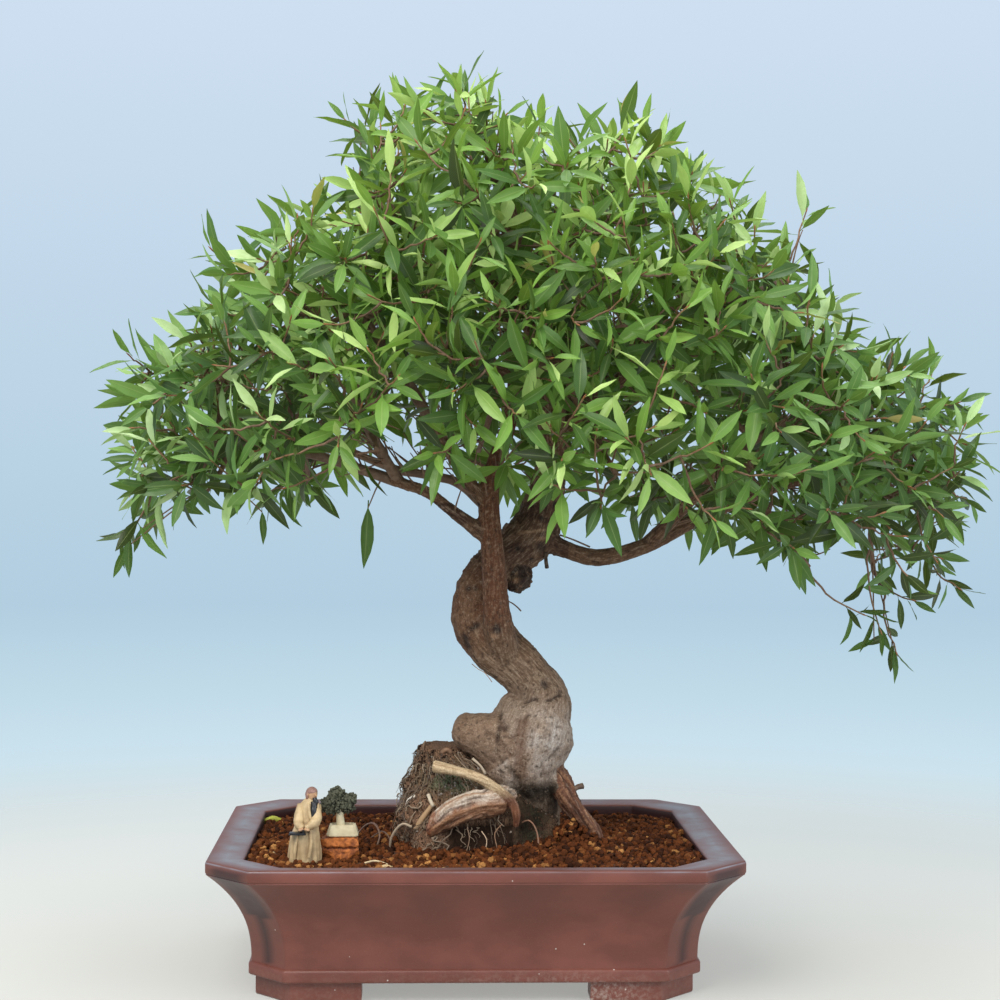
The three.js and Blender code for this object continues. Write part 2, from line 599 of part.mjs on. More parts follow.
// One spray: a twig that forks into three shoots, and a rosette of leaves on the bud of each.
function spray(place, blocked) {
  const random = randomFrom(place.seed);
  const { at, out } = place;
  const level = UP.clone().cross(out).normalize();
  const spread = lean(level, out.clone().cross(level), place.seed * GOLDEN_ANGLE);
  const growth = new Growth();
  const own = [];
  const clear = (close, wide) =>
    !own.some((other) => overlaps(close, other)) &&
    !blocked.some((other) => overlaps(close, other) || overlaps(wide, other));

  // A shoot from a ring to the bud at its end, a small body of eight faces round the axis.
  // Its free faces come back: the end face, and the three that lean forwards and the three back.
  function shoot(from, centre, axis) {
    const shift = 0.6 * BUD_RADIUS;
    const base = centre.clone().addScaledVector(axis, -shift);
    const lowCorners = untwist(growth.corners(from), triangle(base, axis, 0.9 * BUD_RADIUS));
    const highCorners = lowCorners.map((p, i) =>
      p.clone().add(lowCorners[(i + 1) % 3]).sub(base).addScaledVector(axis, 2 * shift));
    own.push(bodyThrough([growth.corners(from), lowCorners]));
    own.push(solidOf(loft([lowCorners, [2, 0, 1].map((i) => highCorners[i])])));
    const low = growth.carryOn(from, lowCorners);
    const high = growth.ring(highCorners);
    const back = low.map((a, i) => [a, low[(i + 1) % 3], high[i]]);
    const forward = low.map((_, i) => [low[(i + 1) % 3], high[(i + 1) % 3], high[i]]);
    return { end: high, forward, back };
  }

  function grow(ring, direction, across) {
    const corners = growth.corners(ring);
    const length = LEAF_LENGTH * (0.82 + 0.18 * random());
    const width = LEAF_WIDTH * (0.88 + 0.12 * random());
    const shape = leafShape(middleOf(corners), direction, across, length, width);
    const roomy = leafShape(middleOf(corners), direction, across, length, width, LEAF_ROOM);
    const first = untwist(corners, shape.sections[0]);
    const second = untwist(first, shape.sections[1]);
    const close = bodyThrough([corners, first, second], shape.tip);
    if (!clear(close, solidOf(loft(roomy.sections, middleOf(corners), roomy.tip)))) return false;
    own.push(close);
    growth.taper(growth.carryOn(growth.carryOn(ring, first), second), shape.tip);
    return true;
  }

  // Leaves on a bud: one carries on from the end, the others open round it.
  function rosette(faces, centre, axis, count) {
    const sides = [0, 1, 2].flatMap((i) => [faces.forward[i], faces.back[(i + 1) % 3]]);
    const order = [faces.end, sides[0], sides[2], sides[4], sides[1], sides[3], sides[5]];
    order.forEach((ring, i) => {
      const outward = middleOf(growth.corners(ring)).sub(centre);
      const round = i === 0 ? spread : outward.addScaledVector(axis, -outward.dot(axis)).normalize();
      const opening = LEAF_OPENING[Math.ceil(i / 3)] + (i === 0 ? 0 : LEAF_OPENING_SPREAD * random());
      for (let attempt = 0; attempt < LEAF_TRIES && i < count; attempt++) {
        const turn = LEAF_TURN * attempt * (attempt % 2 ? 1 : -1);
        const turned = lean(round, axis.clone().cross(round), turn);
        const direction = lean(axis, turned, opening).addScaledVector(UP, -place.droop).normalize();
        if (grow(ring, direction, direction.clone().cross(axis).normalize())) return;
      }
      growth.close(ring);
    });
  }

  // The first place near a wanted one that a shoot reaches without touching another piece, or
  // turning too sharply from the way it heads.
  function reach(from, wanted, heading, nearest = 0) {
    const rise = out.clone().cross(level);
    const radius = Math.SQRT2 * (BUD_RADIUS + LEAF_ROOM);
    return SHOOT_STEPS
      .map(([a, b]) => wanted.clone().addScaledVector(level, a).addScaledVector(rise, b))
      .find((end) => {
        if (end.clone().sub(from).angleTo(heading) > SHARPEST_TURN) return false;
        const start = from.clone().lerp(end, nearest);
        const past = end.clone().addScaledVector(end.clone().sub(start).normalize(), BUD_RADIUS);
        const room = limb([[...start, radius], [...past, radius]], 4, 1);
        return !blocked.some((other) => overlaps(room, other));
      });
  }

  const { end: carrierEnd, tangent } = place.carrier;
  const butt = carrierEnd.clone().addScaledVector(tangent, GAP);
  const fork = reach(butt, butt.clone().lerp(at, 0.4), tangent, 0.2);
  if (!fork) throw new Error(`no room for the fork of spray ${place.seed}`);
  const middleTip = reach(fork, at, out);
  if (!middleTip) throw new Error(`no room for spray ${place.seed}`);
  const start = growth.ring(triangle(butt, tangent, TWIG_RADIUS));
  growth.close(start.toReversed());
  const forkFaces = shoot(start, fork, out);
  const tips = [{ ring: forkFaces.end, end: middleTip, leaves: SPRAY_LEAVES[0] }];
  [1, -1].forEach((sign, i) => {
    const way = spread.clone().multiplyScalar(sign);
    const back = mix(...SIDE_SHOOT_BACK, random());
    const wanted = at.clone().addScaledVector(way, SPRAY_SPREAD).addScaledVector(out, -back);
    const lie = (face) => middleOf(growth.corners(face)).sub(fork).dot(way);
    const ring = forkFaces.forward.reduce((a, b) => (lie(a) > lie(b) ? a : b));
    const end = reach(middleOf(growth.corners(ring)), wanted, out);
    if (end) tips.push({ ring, end, leaves: SPRAY_LEAVES[i + 1] });
  });
  const used = tips.map((tip) => tip.ring);
  const free = [...forkFaces.forward, ...forkFaces.back].filter((face) => !used.includes(face));
  free.forEach((face) => growth.close(face));
  const buds = tips.map(({ ring, end, leaves }) => {
    const axis = end.clone().sub(middleOf(growth.corners(ring))).normalize();
    return { faces: shoot(ring, end, axis), axis, end, leaves };
  });
  buds.forEach(({ faces, axis, end, leaves }) => rosette(faces, end, axis, leaves));
  return { solid: growth.solid(), pieces: own };
}

// Figurine group

// A seated man in a wide robe, with a book on his knees.
function makeScholar() {
  const [x, y] = SCHOLAR_AT;
  const z = FIGURE_GROUND + GAP;
  const fold = (a, h) => 1 + (h < z + 30 ? 0.05 * Math.sin(7 * a) : 0);
  const level = (h, dx, dy, rx, ry) => ellipseRing(x + dx, y + dy, rx, ry, z + h, 14, fold);
  const robe = loft([
    level(0, 0, 0, 16, 13), level(12, 0, 0, 15.5, 13), level(26, 0.5, -1, 14, 12),
    level(33, 1.5, 0, 12, 10), level(45, 3, 1, 11.5, 9), level(54, 4, 1, 10, 7.5),
    level(59, 5, 1, 6.5, 5.5), level(62, 6, 0.5, 4, 4),
  ]);
  const head = new THREE.SphereGeometry(6.4, 8, 6).rotateX(Math.PI / 2).translate(x + 7, y - 0.5, z + 65);
  const bent = (points, steps) =>
    limb(points.map(([px, py, pz, r]) => [x + px, y + py, z + pz, r]), 5, steps);
  const rightArm = bent([[-3, 1, 53, 4.4], [-5, -5, 44, 4.6], [-5, -11, 36, 4.4], [-3, -14, 32.5, 2.6]], 3);
  const leftArm = bent([[11, 0, 53, 4.4], [12, -5, 45, 4.6], [10, -11, 39, 4.4], [5, -14, 37, 2.6]], 3);
  const beard = bent([[10, -4.5, 62, 3.2], [11, -7, 55, 3], [10.5, -8, 48, 1.4]], 2);
  const book = block([x - 14, y - 19, z + 28.5], [x + 2, y - 9, z + 31.1]);
  return join([solidOf(robe), solidOf(head), rightArm, leftArm, beard, book]);
}

// A rough stone block.
function makeRock() {
  const [x, y] = ROCK_AT;
  const rough = (a, z) => 1 + 0.06 * Math.sin(4 * a + z) + 0.05 * Math.sin(7 * a - 2 * z);
  const level = (h, rx, ry) => ellipseRing(x, y, rx, ry, FIGURE_GROUND + GAP + h, 11, rough);
  const levels = [level(0, 16, 12.5), level(6, 17, 13), level(15, 16.5, 13), level(ROCK_HEIGHT, 17, 12.5)];
  return solidOf(loft(levels));
}

// A shallow planter on the rock.
function makePlanter() {
  const [x, y] = ROCK_AT;
  const z = FIGURE_GROUND + ROCK_HEIGHT + 2 * GAP;
  const level = (h, halfX, halfY) => cutCorners(halfX, halfY, 3, z + h).map((p) => p.add(vec(x + 1.5, y, 0)));
  const mound = level(PLANTER_HEIGHT, 11.5, 7);
  return solidOf(loft([level(0, 15, 10), level(1.5, 15.5, 10.5), level(PLANTER_HEIGHT - 1, 12.5, 8), mound]));
}

// The small tree that stands in the planter.
function makeMiniatureTree() {
  const [x, y] = ROCK_AT;
  const z = FIGURE_GROUND + ROCK_HEIGHT + PLANTER_HEIGHT + 3 * GAP;
  const trunk = limb([[x - 0.5, y, z, 4.6], [x - 1, y, z + 10, 3.6], [x - 1, y, z + 18, 3.2]], 8, 3);
  const clump = (dx, dy, h, r) => {
    const lump = new THREE.IcosahedronGeometry(r, 1);
    const place = lump.getAttribute("position");
    for (let i = 0; i < place.count; i++) {
      const p = vec(place.getX(i), place.getY(i), place.getZ(i));
      p.multiplyScalar(1 + 0.09 * Math.sin(p.x * 1.9 + dx) * Math.cos(p.y * 2.3 + p.z * 1.7));
      place.setXYZ(i, p.x, p.y, p.z);
    }
    return solidOf(lump.translate(x + dx, y + dy, z + h));
  };
  return join([trunk, clump(-12, 0, 17, 9), clump(4.5, 1, 18, 9.5), clump(-4, -1, 26.5, 9.5)]);
}

// The object

function meshOf(name, solid, look) {
  const made = solid.getMesh();
  const geometry = new THREE.BufferGeometry();
  geometry.setAttribute("position", new THREE.BufferAttribute(made.vertProperties, made.numProp));
  geometry.setIndex(new THREE.BufferAttribute(made.triVerts, 1));
  geometry.computeVertexNormals();
  const mesh = new THREE.Mesh(geometry, new THREE.MeshStandardMaterial({ metalness: 0, ...look }));
  mesh.name = name;
  return mesh;
}

const bonsai = new THREE.Group();
const add = (name, solid, look) => bonsai.add(meshOf(name, solid, look));

const places = sprayPlaces().sort(
  (a, b) => a.at.distanceTo(CROWN_FORK) - b.at.distanceTo(CROWN_FORK),
);
const wood = [LEADER, FRONT_STEM, ...BOUGHS].flatMap((stations) => samples(stations));
const carriers = places.map((place) => {
  const stations = carry(place, wood);
  const { curve } = course(stations);
  wood.push(...samples(stations).slice(1, -1));
  place.carrier = { end: curve.getPoint(1), tangent: curve.getTangent(1) };
  return limb(stations, 3, 2);
});
const trunk = join([...trunkFoot(0), ...stems(), ...carriers]);
const footRoom = join(trunkFoot(CUT_GAP));
const ball = biggest(rootBall(0).subtract(footRoom));

const screenRoom = [-DRAIN_X, DRAIN_X].map((x) => {
  const half = SCREEN_SIDE / 2 + GAP;
  return block([x - half, -half, FLOOR - SINK], [x + half, half, FLOOR + SCREEN_THICKNESS + 2 * GAP]);
});
const figureRoom = block(
  [SCHOLAR_AT[0] - 18, SCHOLAR_AT[1] - 17, FIGURE_GROUND],
  [ROCK_AT[0] + 22, ROCK_AT[1] + 17, POT_HEIGHT + 20],
);
const soilRoom = join([rootBall(CUT_GAP), footRoom, figureRoom, ...screenRoom]);

add("pot", makePot(), CLAY);
add("drain_screen_left", makeScreen(-DRAIN_X), MESH_PLASTIC);
add("drain_screen_right", makeScreen(DRAIN_X), MESH_PLASTIC);
add("soil", makeSoil(soilRoom), SOIL);
add("root_ball", ball, OLD_SOIL);
add("trunk_and_branches", trunk, BARK);

const grown = [trunk];
places.forEach((place, i) => {
  const { solid, pieces } = spray(place, grown);
  grown.push(...pieces);
  const light = Math.min(Math.max(place.at.z / CANOPY_FLOOR - 1, 0), 1);
  const look = { color: LEAF_DARK.clone().lerp(LEAF_LIGHT, light), roughness: LEAF_ROUGHNESS };
  add(`leafy_spray_${String(i + 1).padStart(2, "0")}`, solid, look);
});

add("scholar", makeScholar(), ROBE);
add("rock", makeRock(), ROCK);
add("planter", makePlanter(), CREAM);
add("miniature_tree", makeMiniatureTree(), MINI_GREEN);

const box = new THREE.Box3().setFromObject(bonsai);
const middle = box.getCenter(vec(0, 0, 0));
bonsai.position.set(-middle.x, -middle.y, -box.min.z);

const object = new THREE.Group();
object.add(bonsai);

export default object;
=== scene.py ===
"""Looks of the ficus neriifolia bonsai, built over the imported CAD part.

Shapes are worked out in millimetres from a point under the pot's centre, +Z up, the pot's front
towards -Y, as in the part's source, and moved to the part's frame in metres when a piece is made.
"""

import math

import bmesh
import bpy
import numpy as np
from mathutils import Matrix, Vector, noise


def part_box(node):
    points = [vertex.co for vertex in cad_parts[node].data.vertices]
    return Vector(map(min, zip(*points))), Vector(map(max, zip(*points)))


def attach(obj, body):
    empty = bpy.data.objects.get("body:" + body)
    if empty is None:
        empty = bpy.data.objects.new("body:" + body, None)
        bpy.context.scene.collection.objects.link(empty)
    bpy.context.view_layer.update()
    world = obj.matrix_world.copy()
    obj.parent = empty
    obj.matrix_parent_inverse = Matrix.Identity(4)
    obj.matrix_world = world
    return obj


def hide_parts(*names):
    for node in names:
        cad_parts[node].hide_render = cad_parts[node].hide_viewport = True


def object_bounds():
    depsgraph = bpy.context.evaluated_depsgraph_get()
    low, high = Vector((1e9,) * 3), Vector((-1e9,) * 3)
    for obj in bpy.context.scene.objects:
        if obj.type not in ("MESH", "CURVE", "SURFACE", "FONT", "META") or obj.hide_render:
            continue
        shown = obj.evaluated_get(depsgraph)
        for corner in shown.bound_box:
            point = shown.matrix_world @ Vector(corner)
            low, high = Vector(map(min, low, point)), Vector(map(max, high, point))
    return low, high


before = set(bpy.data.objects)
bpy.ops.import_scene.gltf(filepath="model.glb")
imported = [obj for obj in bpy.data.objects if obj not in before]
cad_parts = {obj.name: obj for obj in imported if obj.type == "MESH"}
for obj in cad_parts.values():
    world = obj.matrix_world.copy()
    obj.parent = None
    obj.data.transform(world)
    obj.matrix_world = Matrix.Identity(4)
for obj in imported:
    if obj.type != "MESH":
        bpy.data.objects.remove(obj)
CAD_LOW, CAD_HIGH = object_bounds()
POT_LOW, POT_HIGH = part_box("pot")
SHIFT = np.array([500 * (POT_LOW.x + POT_HIGH.x), 500 * (POT_LOW.y + POT_HIGH.y), 0.0])
BOX_LOW = 1000 * np.array(CAD_LOW) - SHIFT
BOX_HIGH = 1000 * np.array(CAD_HIGH) - SHIFT
UP = np.array([0.0, 0.0, 1.0])

# Camera, in millimetres and radians, and its focal length in thousandths of the picture's side
CAMERA_AT = np.array([-57.0, -1930.0, 500.0])
CAMERA_PITCH, CAMERA_YAW, CAMERA_ROLL = -0.0145, 0.0425, 0.0075
CAMERA_FOCAL = 1900.0


def camera_axes():
    """Unit vectors to the camera's right, its top and straight ahead."""
    level = np.array([math.cos(CAMERA_YAW), -math.sin(CAMERA_YAW), 0.0])
    ahead = np.array([
        math.sin(CAMERA_YAW) * math.cos(CAMERA_PITCH), math.cos(CAMERA_YAW) * math.cos(CAMERA_PITCH),
        math.sin(CAMERA_PITCH),
    ])
    above = np.cross(level, ahead)
    right = math.cos(CAMERA_ROLL) * level + math.sin(CAMERA_ROLL) * above
    top = -math.sin(CAMERA_ROLL) * level + math.cos(CAMERA_ROLL) * above
    return right, top, ahead


RIGHT, TOP, AHEAD = camera_axes()

# Pot, in the measures of the part's source
POT_LENGTH, POT_DEPTH, POT_HEIGHT = 510.0, 385.0, 134.0
CORNER_CUT, CORNER_NARROWING = 44.0, 0.22
RIM_FACE, RIM_TOP_AT_ENDS, RIM_TOP_AT_FRONT = 12.0, 34.0, 26.0
WALL_FLARE, WALL_CURVE, WALL_THICKNESS = 41.0, 2.4, 14.0
BAND_HEIGHT, BAND_OUT = 13.0, 2.5
FOOT_HEIGHT, FOOT_INSET, FOOT_LENGTH, FOOT_DEPTH, FOOT_WIDTH = 20.0, 6.5, 102.0, 80.0, 30.0
FLOOR = 34.0
DRAIN_RADIUS, DRAIN_X = 15.0, 120.0

# Figurine group: where the two pieces stand, and the soil's height under them
SCHOLAR_AT, ROCK_AT = np.array([-164.0, -116.0]), np.array([-130.0, -100.0])
FIGURE_GROUND = 127.3

# Wood, as stations of x, y, z and radius along each limb
TRUNK = [
    (68, 16, 108, 24), (66, 14, 150, 24), (61, 3, 178, 30), (50, -9, 206, 40), (57, -10, 236, 43.5),
    (62, -9, 254, 39), (67, -8, 271, 30), (57, -7, 290, 25), (39, -5, 309, 26), (20, -3, 325, 26.5),
    (6, 0, 344, 26.5), (1, 2, 367, 23.5), (7, 7, 388, 23), (23, 14, 405, 24), (44, 20, 421, 25),
    (62, 24, 442, 24), (73, 26, 480, 19),
]
BURL = [
    (30, 14, 406, 17), (44, 9, 395, 15.5), (41, 3, 386, 11.5), (38, 0, 381, 6),
]
LEADER = [
    (74, 26, 478, 19), (80, 22, 530, 15), (72, 12, 600, 12), (56, 4, 680, 9), (34, 0, 760, 7),
    (6, 0, 835, 4),
]
LOBE = [
    (-20, -10, 240, 9), (-12, -12, 239, 18), (2, -14, 235, 24), (22, -14, 229, 32), (42, -13, 226, 37),
]
FRONT_STEM = [
    (32, -18, 316, 15), (23, -31, 345, 16), (20, -37, 376, 13), (16, -41, 428, 11.2), (12, -41, 470, 10.4),
    (18, -40, 508, 8.5), (32, -38, 550, 7.5), (36, -36, 620, 6), (20, -34, 700, 4.5),
]
ROOTS = {
    "right": [
        (74, -12, 204, 12), (87, -18, 188, 12.5), (96, -23, 171, 12), (107, -28, 154, 11),
        (119, -31, 138, 8.5), (131, -33, 112, 5),
    ],
    "cut": [
        (-42, -66, 211, 6.6), (-18, -73, 207, 5.4), (4, -78, 201, 5), (22, -76, 189, 5.2),
        (35, -74, 178, 4.8), (40, -75, 166, 4.4), (40, -70, 152, 3.4),
    ],
    "fat": [
        (-46, -74, 147, 6), (-34, -78, 158, 11.5), (-20, -80, 169, 13.5), (0, -78, 175, 13.8),
        (18, -70, 176, 12.4), (28, -52, 176, 11), (34, -16, 174, 15),
    ],
    "back_right": [(66, 8, 178, 13), (96, 26, 160, 10), (120, 42, 134, 7.5), (134, 52, 110, 5)],
    "back": [(44, 20, 182, 14), (16, 52, 156, 11), (-8, 76, 126, 8), (-16, 86, 106, 6)],
}
BOUGHS = [
    [(13, -40, 434, 8), (-22, -48, 460, 6.5), (-48, -54, 479, 6), (-78, -58, 490, 5.5),
     (-174, -62, 519, 4.8), (-262, -52, 526, 3.6)],
    [(11, -38, 464, 6), (-16, -34, 488, 5), (-48, -28, 497, 4.6), (-80, -18, 502, 4.2),
     (-140, 24, 524, 4), (-220, 70, 542, 3.2)],
    [(62, 20, 436, 13), (94, 22, 421, 9.5), (130, 24, 413, 9), (181, 26, 427, 8.5), (236, 36, 455, 8),
     (302, 50, 482, 7), (370, 56, 498, 6), (440, 44, 486, 4)],
    [(12, -41, 466, 8), (-12, -46, 496, 6.5), (-40, -60, 540, 6), (-84, -80, 610, 5), (-130, -90, 670, 4)],
    [(78, 24, 520, 10), (110, 40, 560, 8.5), (180, 30, 620, 7), (260, 10, 672, 5.5), (320, 0, 700, 4)],
    [(74, 16, 570, 9), (40, 60, 600, 8), (-30, 110, 630, 6.5), (-110, 140, 650, 5), (-180, 140, 640, 4)],
    [(76, 20, 540, 10), (110, 90, 580, 8.5), (150, 160, 610, 6.5), (190, 200, 630, 4.5)],
    [(66, 8, 630, 8), (20, -10, 690, 6.5), (-60, -10, 740, 5), (-120, 0, 770, 4)],
    [(34, -38, 560, 7), (70, -90, 590, 6.5), (120, -150, 630, 5.5), (160, -180, 640, 4)],
    [(181, 26, 429, 8), (214, -20, 470, 6.5), (250, -90, 520, 5.5), (290, -140, 550, 4)],
    [(60, 6, 665, 7.5), (80, 70, 720, 6), (90, 120, 760, 4.5)],
    [(-78, -58, 491, 5.5), (-100, -100, 530, 5), (-120, -160, 570, 4)],
]
# Root ball, as levels: height, middle in x and y, half length and half depth
ROOT_BALL = [
    (92, 2, -4, 80, 74), (128, 2, -4, 82, 80), (158, -2, -2, 72, 74), (188, -12, 0, 50, 62),
    (210, -27, 2, 30, 46), (222, -32, 3, 20, 32),
]

# Canopy, as in the part's source
CANOPY_TOP = [
    (-391, 585), (-340, 640), (-290, 712), (-190, 775), (-145, 855), (-19, 934), (144, 885),
    (226, 835), (330, 738), (413, 668), (486, 620), (539, 505),
]
CANOPY_BASE = [
    (-391, 540), (-366, 394), (-318, 424), (-273, 455), (-187, 440), (-77, 480), (45, 470),
    (127, 445), (230, 440), (292, 412), (386, 330), (433, 290), (510, 372), (539, 480),
]
CANOPY_CENTRE_X, CANOPY_HALF_LENGTH, CANOPY_HALF_DEPTH = 74.0, 480.0, 288.0
CANOPY_FLOOR, CANOPY_FULLNESS = 430.0, 0.85
CANOPY_SLICES = [-304, -215, -108, 5, 122, 241, 358, 474]
CROWN_FORK = np.array([50.0, 0.0, 440.0])
SPRAY_PITCH, SPRAY_REACH, SPRAY_INSET, SPRAY_SCATTER = 180.0, 74.0, 40.0, 26.0
TWIG_RADIUS, CARRIER_RADIUS = 2.5, 4.5

# The canopy's outline in the photograph, in thousandths of the picture's side from its top left
OUTLINE = [
    (88, 385), (120, 350), (160, 332), (192, 292), (200, 264), (183, 238), (215, 226), (262, 198),
    (292, 190), (318, 178), (335, 140), (334, 95), (366, 102), (405, 75), (440, 72), (462, 48),
    (482, 76), (530, 97), (610, 101), (648, 93), (690, 126), (705, 150), (765, 184), (800, 186),
    (840, 210), (812, 262), (850, 290), (886, 320), (952, 344), (972, 380), (988, 400), (990, 450),
    (1000, 488), (975, 520), (985, 572), (965, 602), (925, 615), (906, 645), (897, 684), (870, 655),
    (846, 648), (850, 612), (816, 590), (828, 562), (800, 577), (768, 566), (740, 558), (700, 555),
    (665, 540), (640, 548), (608, 556), (578, 542), (550, 520), (516, 512), (488, 500), (440, 486),
    (400, 470), (372, 480), (350, 520), (330, 506), (300, 522), (290, 548), (262, 545), (240, 522),
    (205, 512), (190, 546), (160, 550), (135, 532), (112, 578), (116, 536), (97, 500), (112, 470),
    (96, 460), (102, 420),
]


def rgb(red, green, blue):
    """A colour given as on a screen, from 0 to 255, as linear values."""
    return np.array([((c / 255 + 0.055) / 1.055) ** 2.4 if c > 10 else c / 3295 for c in (red, green, blue)])


def mix(a, b, share):
    return a + (b - a) * share


def unit(v):
    v = np.asarray(v, float)
    return v / np.maximum(np.linalg.norm(v, axis=-1, keepdims=True), 1e-9)


def ramp(value, start, end):
    """0 on start's side, 1 on end's side and in proportion between, with start over end too."""
    return np.clip((value - start) / (end - start), 0, 1)


def near(value, middle, reach, power=2):
    """1 at the middle, fading to nothing somewhat beyond reach."""
    return np.exp(-(((value - middle) / reach) ** power))


def turns(count):
    """Angles that divide a full turn evenly."""
    return np.linspace(0, 2 * math.pi, count, endpoint=False)


def bow(start, hold, end, t):
    """Points at the shares t of a curve from start to end that bends towards hold."""
    return (1 - t) ** 2 * start + 2 * t * (1 - t) * hold + t * t * end


# Random numbers, curves and the canopy's shape, by the same rules as the part's source


def random_from(seed):
    """A function that draws numbers from 0 to 1."""
    state = seed & 0xFFFFFFFF

    def draw():
        nonlocal state
        state = (state + 0x6D2B79F5) & 0xFFFFFFFF
        t = ((state ^ (state >> 15)) * (state | 1)) & 0xFFFFFFFF
        t ^= (t + (((t ^ (t >> 7)) * (t | 61)) & 0xFFFFFFFF)) & 0xFFFFFFFF
        return (t ^ (t >> 14)) / 4294967296

    return draw


def along(line, x):
    """The height at x of a line of points, each x and height."""
    xs, zs = zip(*line)
    return np.interp(x, xs, zs)


def curve_at(stations, t):
    """Points and radii at the shares t of the smooth curve through the stations of a limb."""
    s = np.asarray(stations, float)
    p = np.vstack([2 * s[0, :3] - s[1, :3], s[:, :3], 2 * s[-1, :3] - s[-2, :3]])
    at = np.clip(np.atleast_1d(t), 0, 1) * (len(s) - 1)
    k = np.minimum(at.astype(int), len(s) - 2)
    w = (at - k)[:, None]
    p0, p1, p2, p3 = (p[k + i] for i in range(4))
    t0, t1 = 0.5 * (p2 - p0), 0.5 * (p3 - p1)
    points = p1 + t0 * w + (3 * (p2 - p1) - 2 * t0 - t1) * w**2 + (2 * (p1 - p2) + t0 + t1) * w**3
    return points, mix(s[k, 3], s[k + 1, 3], w[:, 0])


def length_of(stations):
    """The length of a limb's curve."""
    points, _ = curve_at(stations, np.linspace(0, 1, 201))
    return np.linalg.norm(np.diff(points, axis=0), axis=1).sum()


def samples(stations):
    """Points and radii along a limb, about 12 mm apart."""
    count = max(2, round(length_of(stations) / 12))
    return curve_at(stations, np.arange(count + 1) / count)


def canopy_shape(x):
    """The canopy's half depth at x, and the heights of its base and top."""
    share = np.clip((x - CANOPY_CENTRE_X) / CANOPY_HALF_LENGTH, -0.985, 0.985)
    return CANOPY_HALF_DEPTH * np.sqrt(1 - share**2), along(CANOPY_BASE, x), along(CANOPY_TOP, x)


def outward(point):
    """The way that sprays and shoots face at a point of the canopy: out of it and somewhat up."""
    return unit([
        (point[0] - CANOPY_CENTRE_X) / CANOPY_HALF_LENGTH**2,
        point[1] / CANOPY_HALF_DEPTH**2,
        max(point[2] - CANOPY_FLOOR, 0) / CANOPY_FLOOR**2,
    ])


def spray_places():
    """Where the leafy sprays stand and which way they face, nearest to the crown's fork first."""
    places = []
    for number, slice_x in enumerate(CANOPY_SLICES):
        depth, low, top = canopy_shape(slice_x)
        depth -= SPRAY_INSET
        rise = max(top - SPRAY_INSET - low, 20)
        arch = math.pi * math.sqrt((depth * depth + rise * rise) / 2)
        count = max(3, math.floor(arch / SPRAY_PITCH + 0.5) + 1)
        for i in range(count):
            draw = random_from(101 * number + i + 7)
            turn = math.pi * (i + 0.5 * (number % 2) + 0.25) / count
            x = slice_x + SPRAY_SCATTER * (draw() - 0.5)
            at = np.array([x, -depth * math.cos(turn), low + rise * math.sin(turn) ** CANOPY_FULLNESS])
            places.append((at, outward(at)))
    return sorted(places, key=lambda place: np.linalg.norm(place[0] - CROWN_FORK))


def carry(at, out, wood_at, wood_radius):
    """The stations of the twig that carries a spray, from the wood nearest to it."""
    butt = at - SPRAY_REACH * out
    reach = np.linalg.norm(butt - CROWN_FORK)
    inner = np.linalg.norm(wood_at - CROWN_FORK, axis=1) < reach - TWIG_RADIUS
    nearest = np.where(inner, np.linalg.norm(wood_at - butt, axis=1), np.inf).argmin()
    start = wood_at[nearest]
    radius = min(max(0.7 * wood_radius[nearest], 1.15 * TWIG_RADIUS), CARRIER_RADIUS)
    bend = (start + butt) / 2 - 0.1 * np.linalg.norm(start - butt) * out
    return [(*start, radius), (*bend, (radius + TWIG_RADIUS) / 2), (*butt, TWIG_RADIUS)]


PLACES = spray_places()
UPPER_LIMBS = [LEADER, FRONT_STEM, *BOUGHS]
WOOD_AT, WOOD_RADIUS = (np.concatenate(part) for part in zip(*[samples(limb) for limb in UPPER_LIMBS]))
CARRIERS = []
for spray_at, spray_out in PLACES:
    twig = carry(spray_at, spray_out, WOOD_AT, WOOD_RADIUS)
    points, radii = samples(twig)
    WOOD_AT = np.vstack([WOOD_AT, points[1:-1]])
    WOOD_RADIUS = np.concatenate([WOOD_RADIUS, radii[1:-1]])
    CARRIERS.append(twig)


# Meshes and pieces


def to_frame(points):
    """Millimetres over the pot's centre, as metres in the part's frame."""
    return (np.asarray(points, float) + SHIFT) / 1000


def from_frame(vertices):
    """The places of vertices, in millimetres over the pot's centre."""
    return np.array([v.co for v in vertices]) * 1000 - SHIFT


def add_object(name, data):
    """An object in the scene for a mesh, a lamp or a camera."""
    made = bpy.data.objects.new(name, data)
    bpy.context.scene.collection.objects.link(made)
    return made


def set_layer(mesh, name, values):
    """A number, a vector or, under the name tint, a colour for each point of a mesh."""
    values = np.asarray(values, float)
    kind, field = "FLOAT_VECTOR", "vector"
    if values.ndim == 1:
        kind, field = "FLOAT", "value"
    elif name == "tint":
        kind, field = "FLOAT_COLOR", "color"
        values = np.hstack([values, np.ones((len(values), 1))])
    mesh.attributes.new(name, kind, "POINT").data.foreach_set(field, values.ravel())


def new_mesh(name, points, faces, smooth=True, layers=None):
    """A mesh from points in millimetres, with layers by name."""
    mesh = bpy.data.meshes.new(name)
    mesh.from_pydata(to_frame(points).tolist(), [], faces)
    mesh.polygons.foreach_set("use_smooth", np.full(len(mesh.polygons), smooth))
    for key, values in (layers or {}).items():
        set_layer(mesh, key, values)
    return mesh


def smooth_but_sharp(mesh, degrees):
    """Smooth shading, with edges sharp where faces meet at more than an angle."""
    mesh.polygons.foreach_set("use_smooth", np.ones(len(mesh.polygons), bool))
    mesh.set_sharp_from_angle(angle=math.radians(degrees))


def new_piece(name, mesh, looks, stands_for=()):
    """A piece of the visual model, and the CAD nodes that it stands for."""
    piece = add_object(name, mesh)
    for look in looks:
        mesh.materials.append(look)
    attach(piece, "root")
    if stands_for:
        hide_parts(*stands_for)


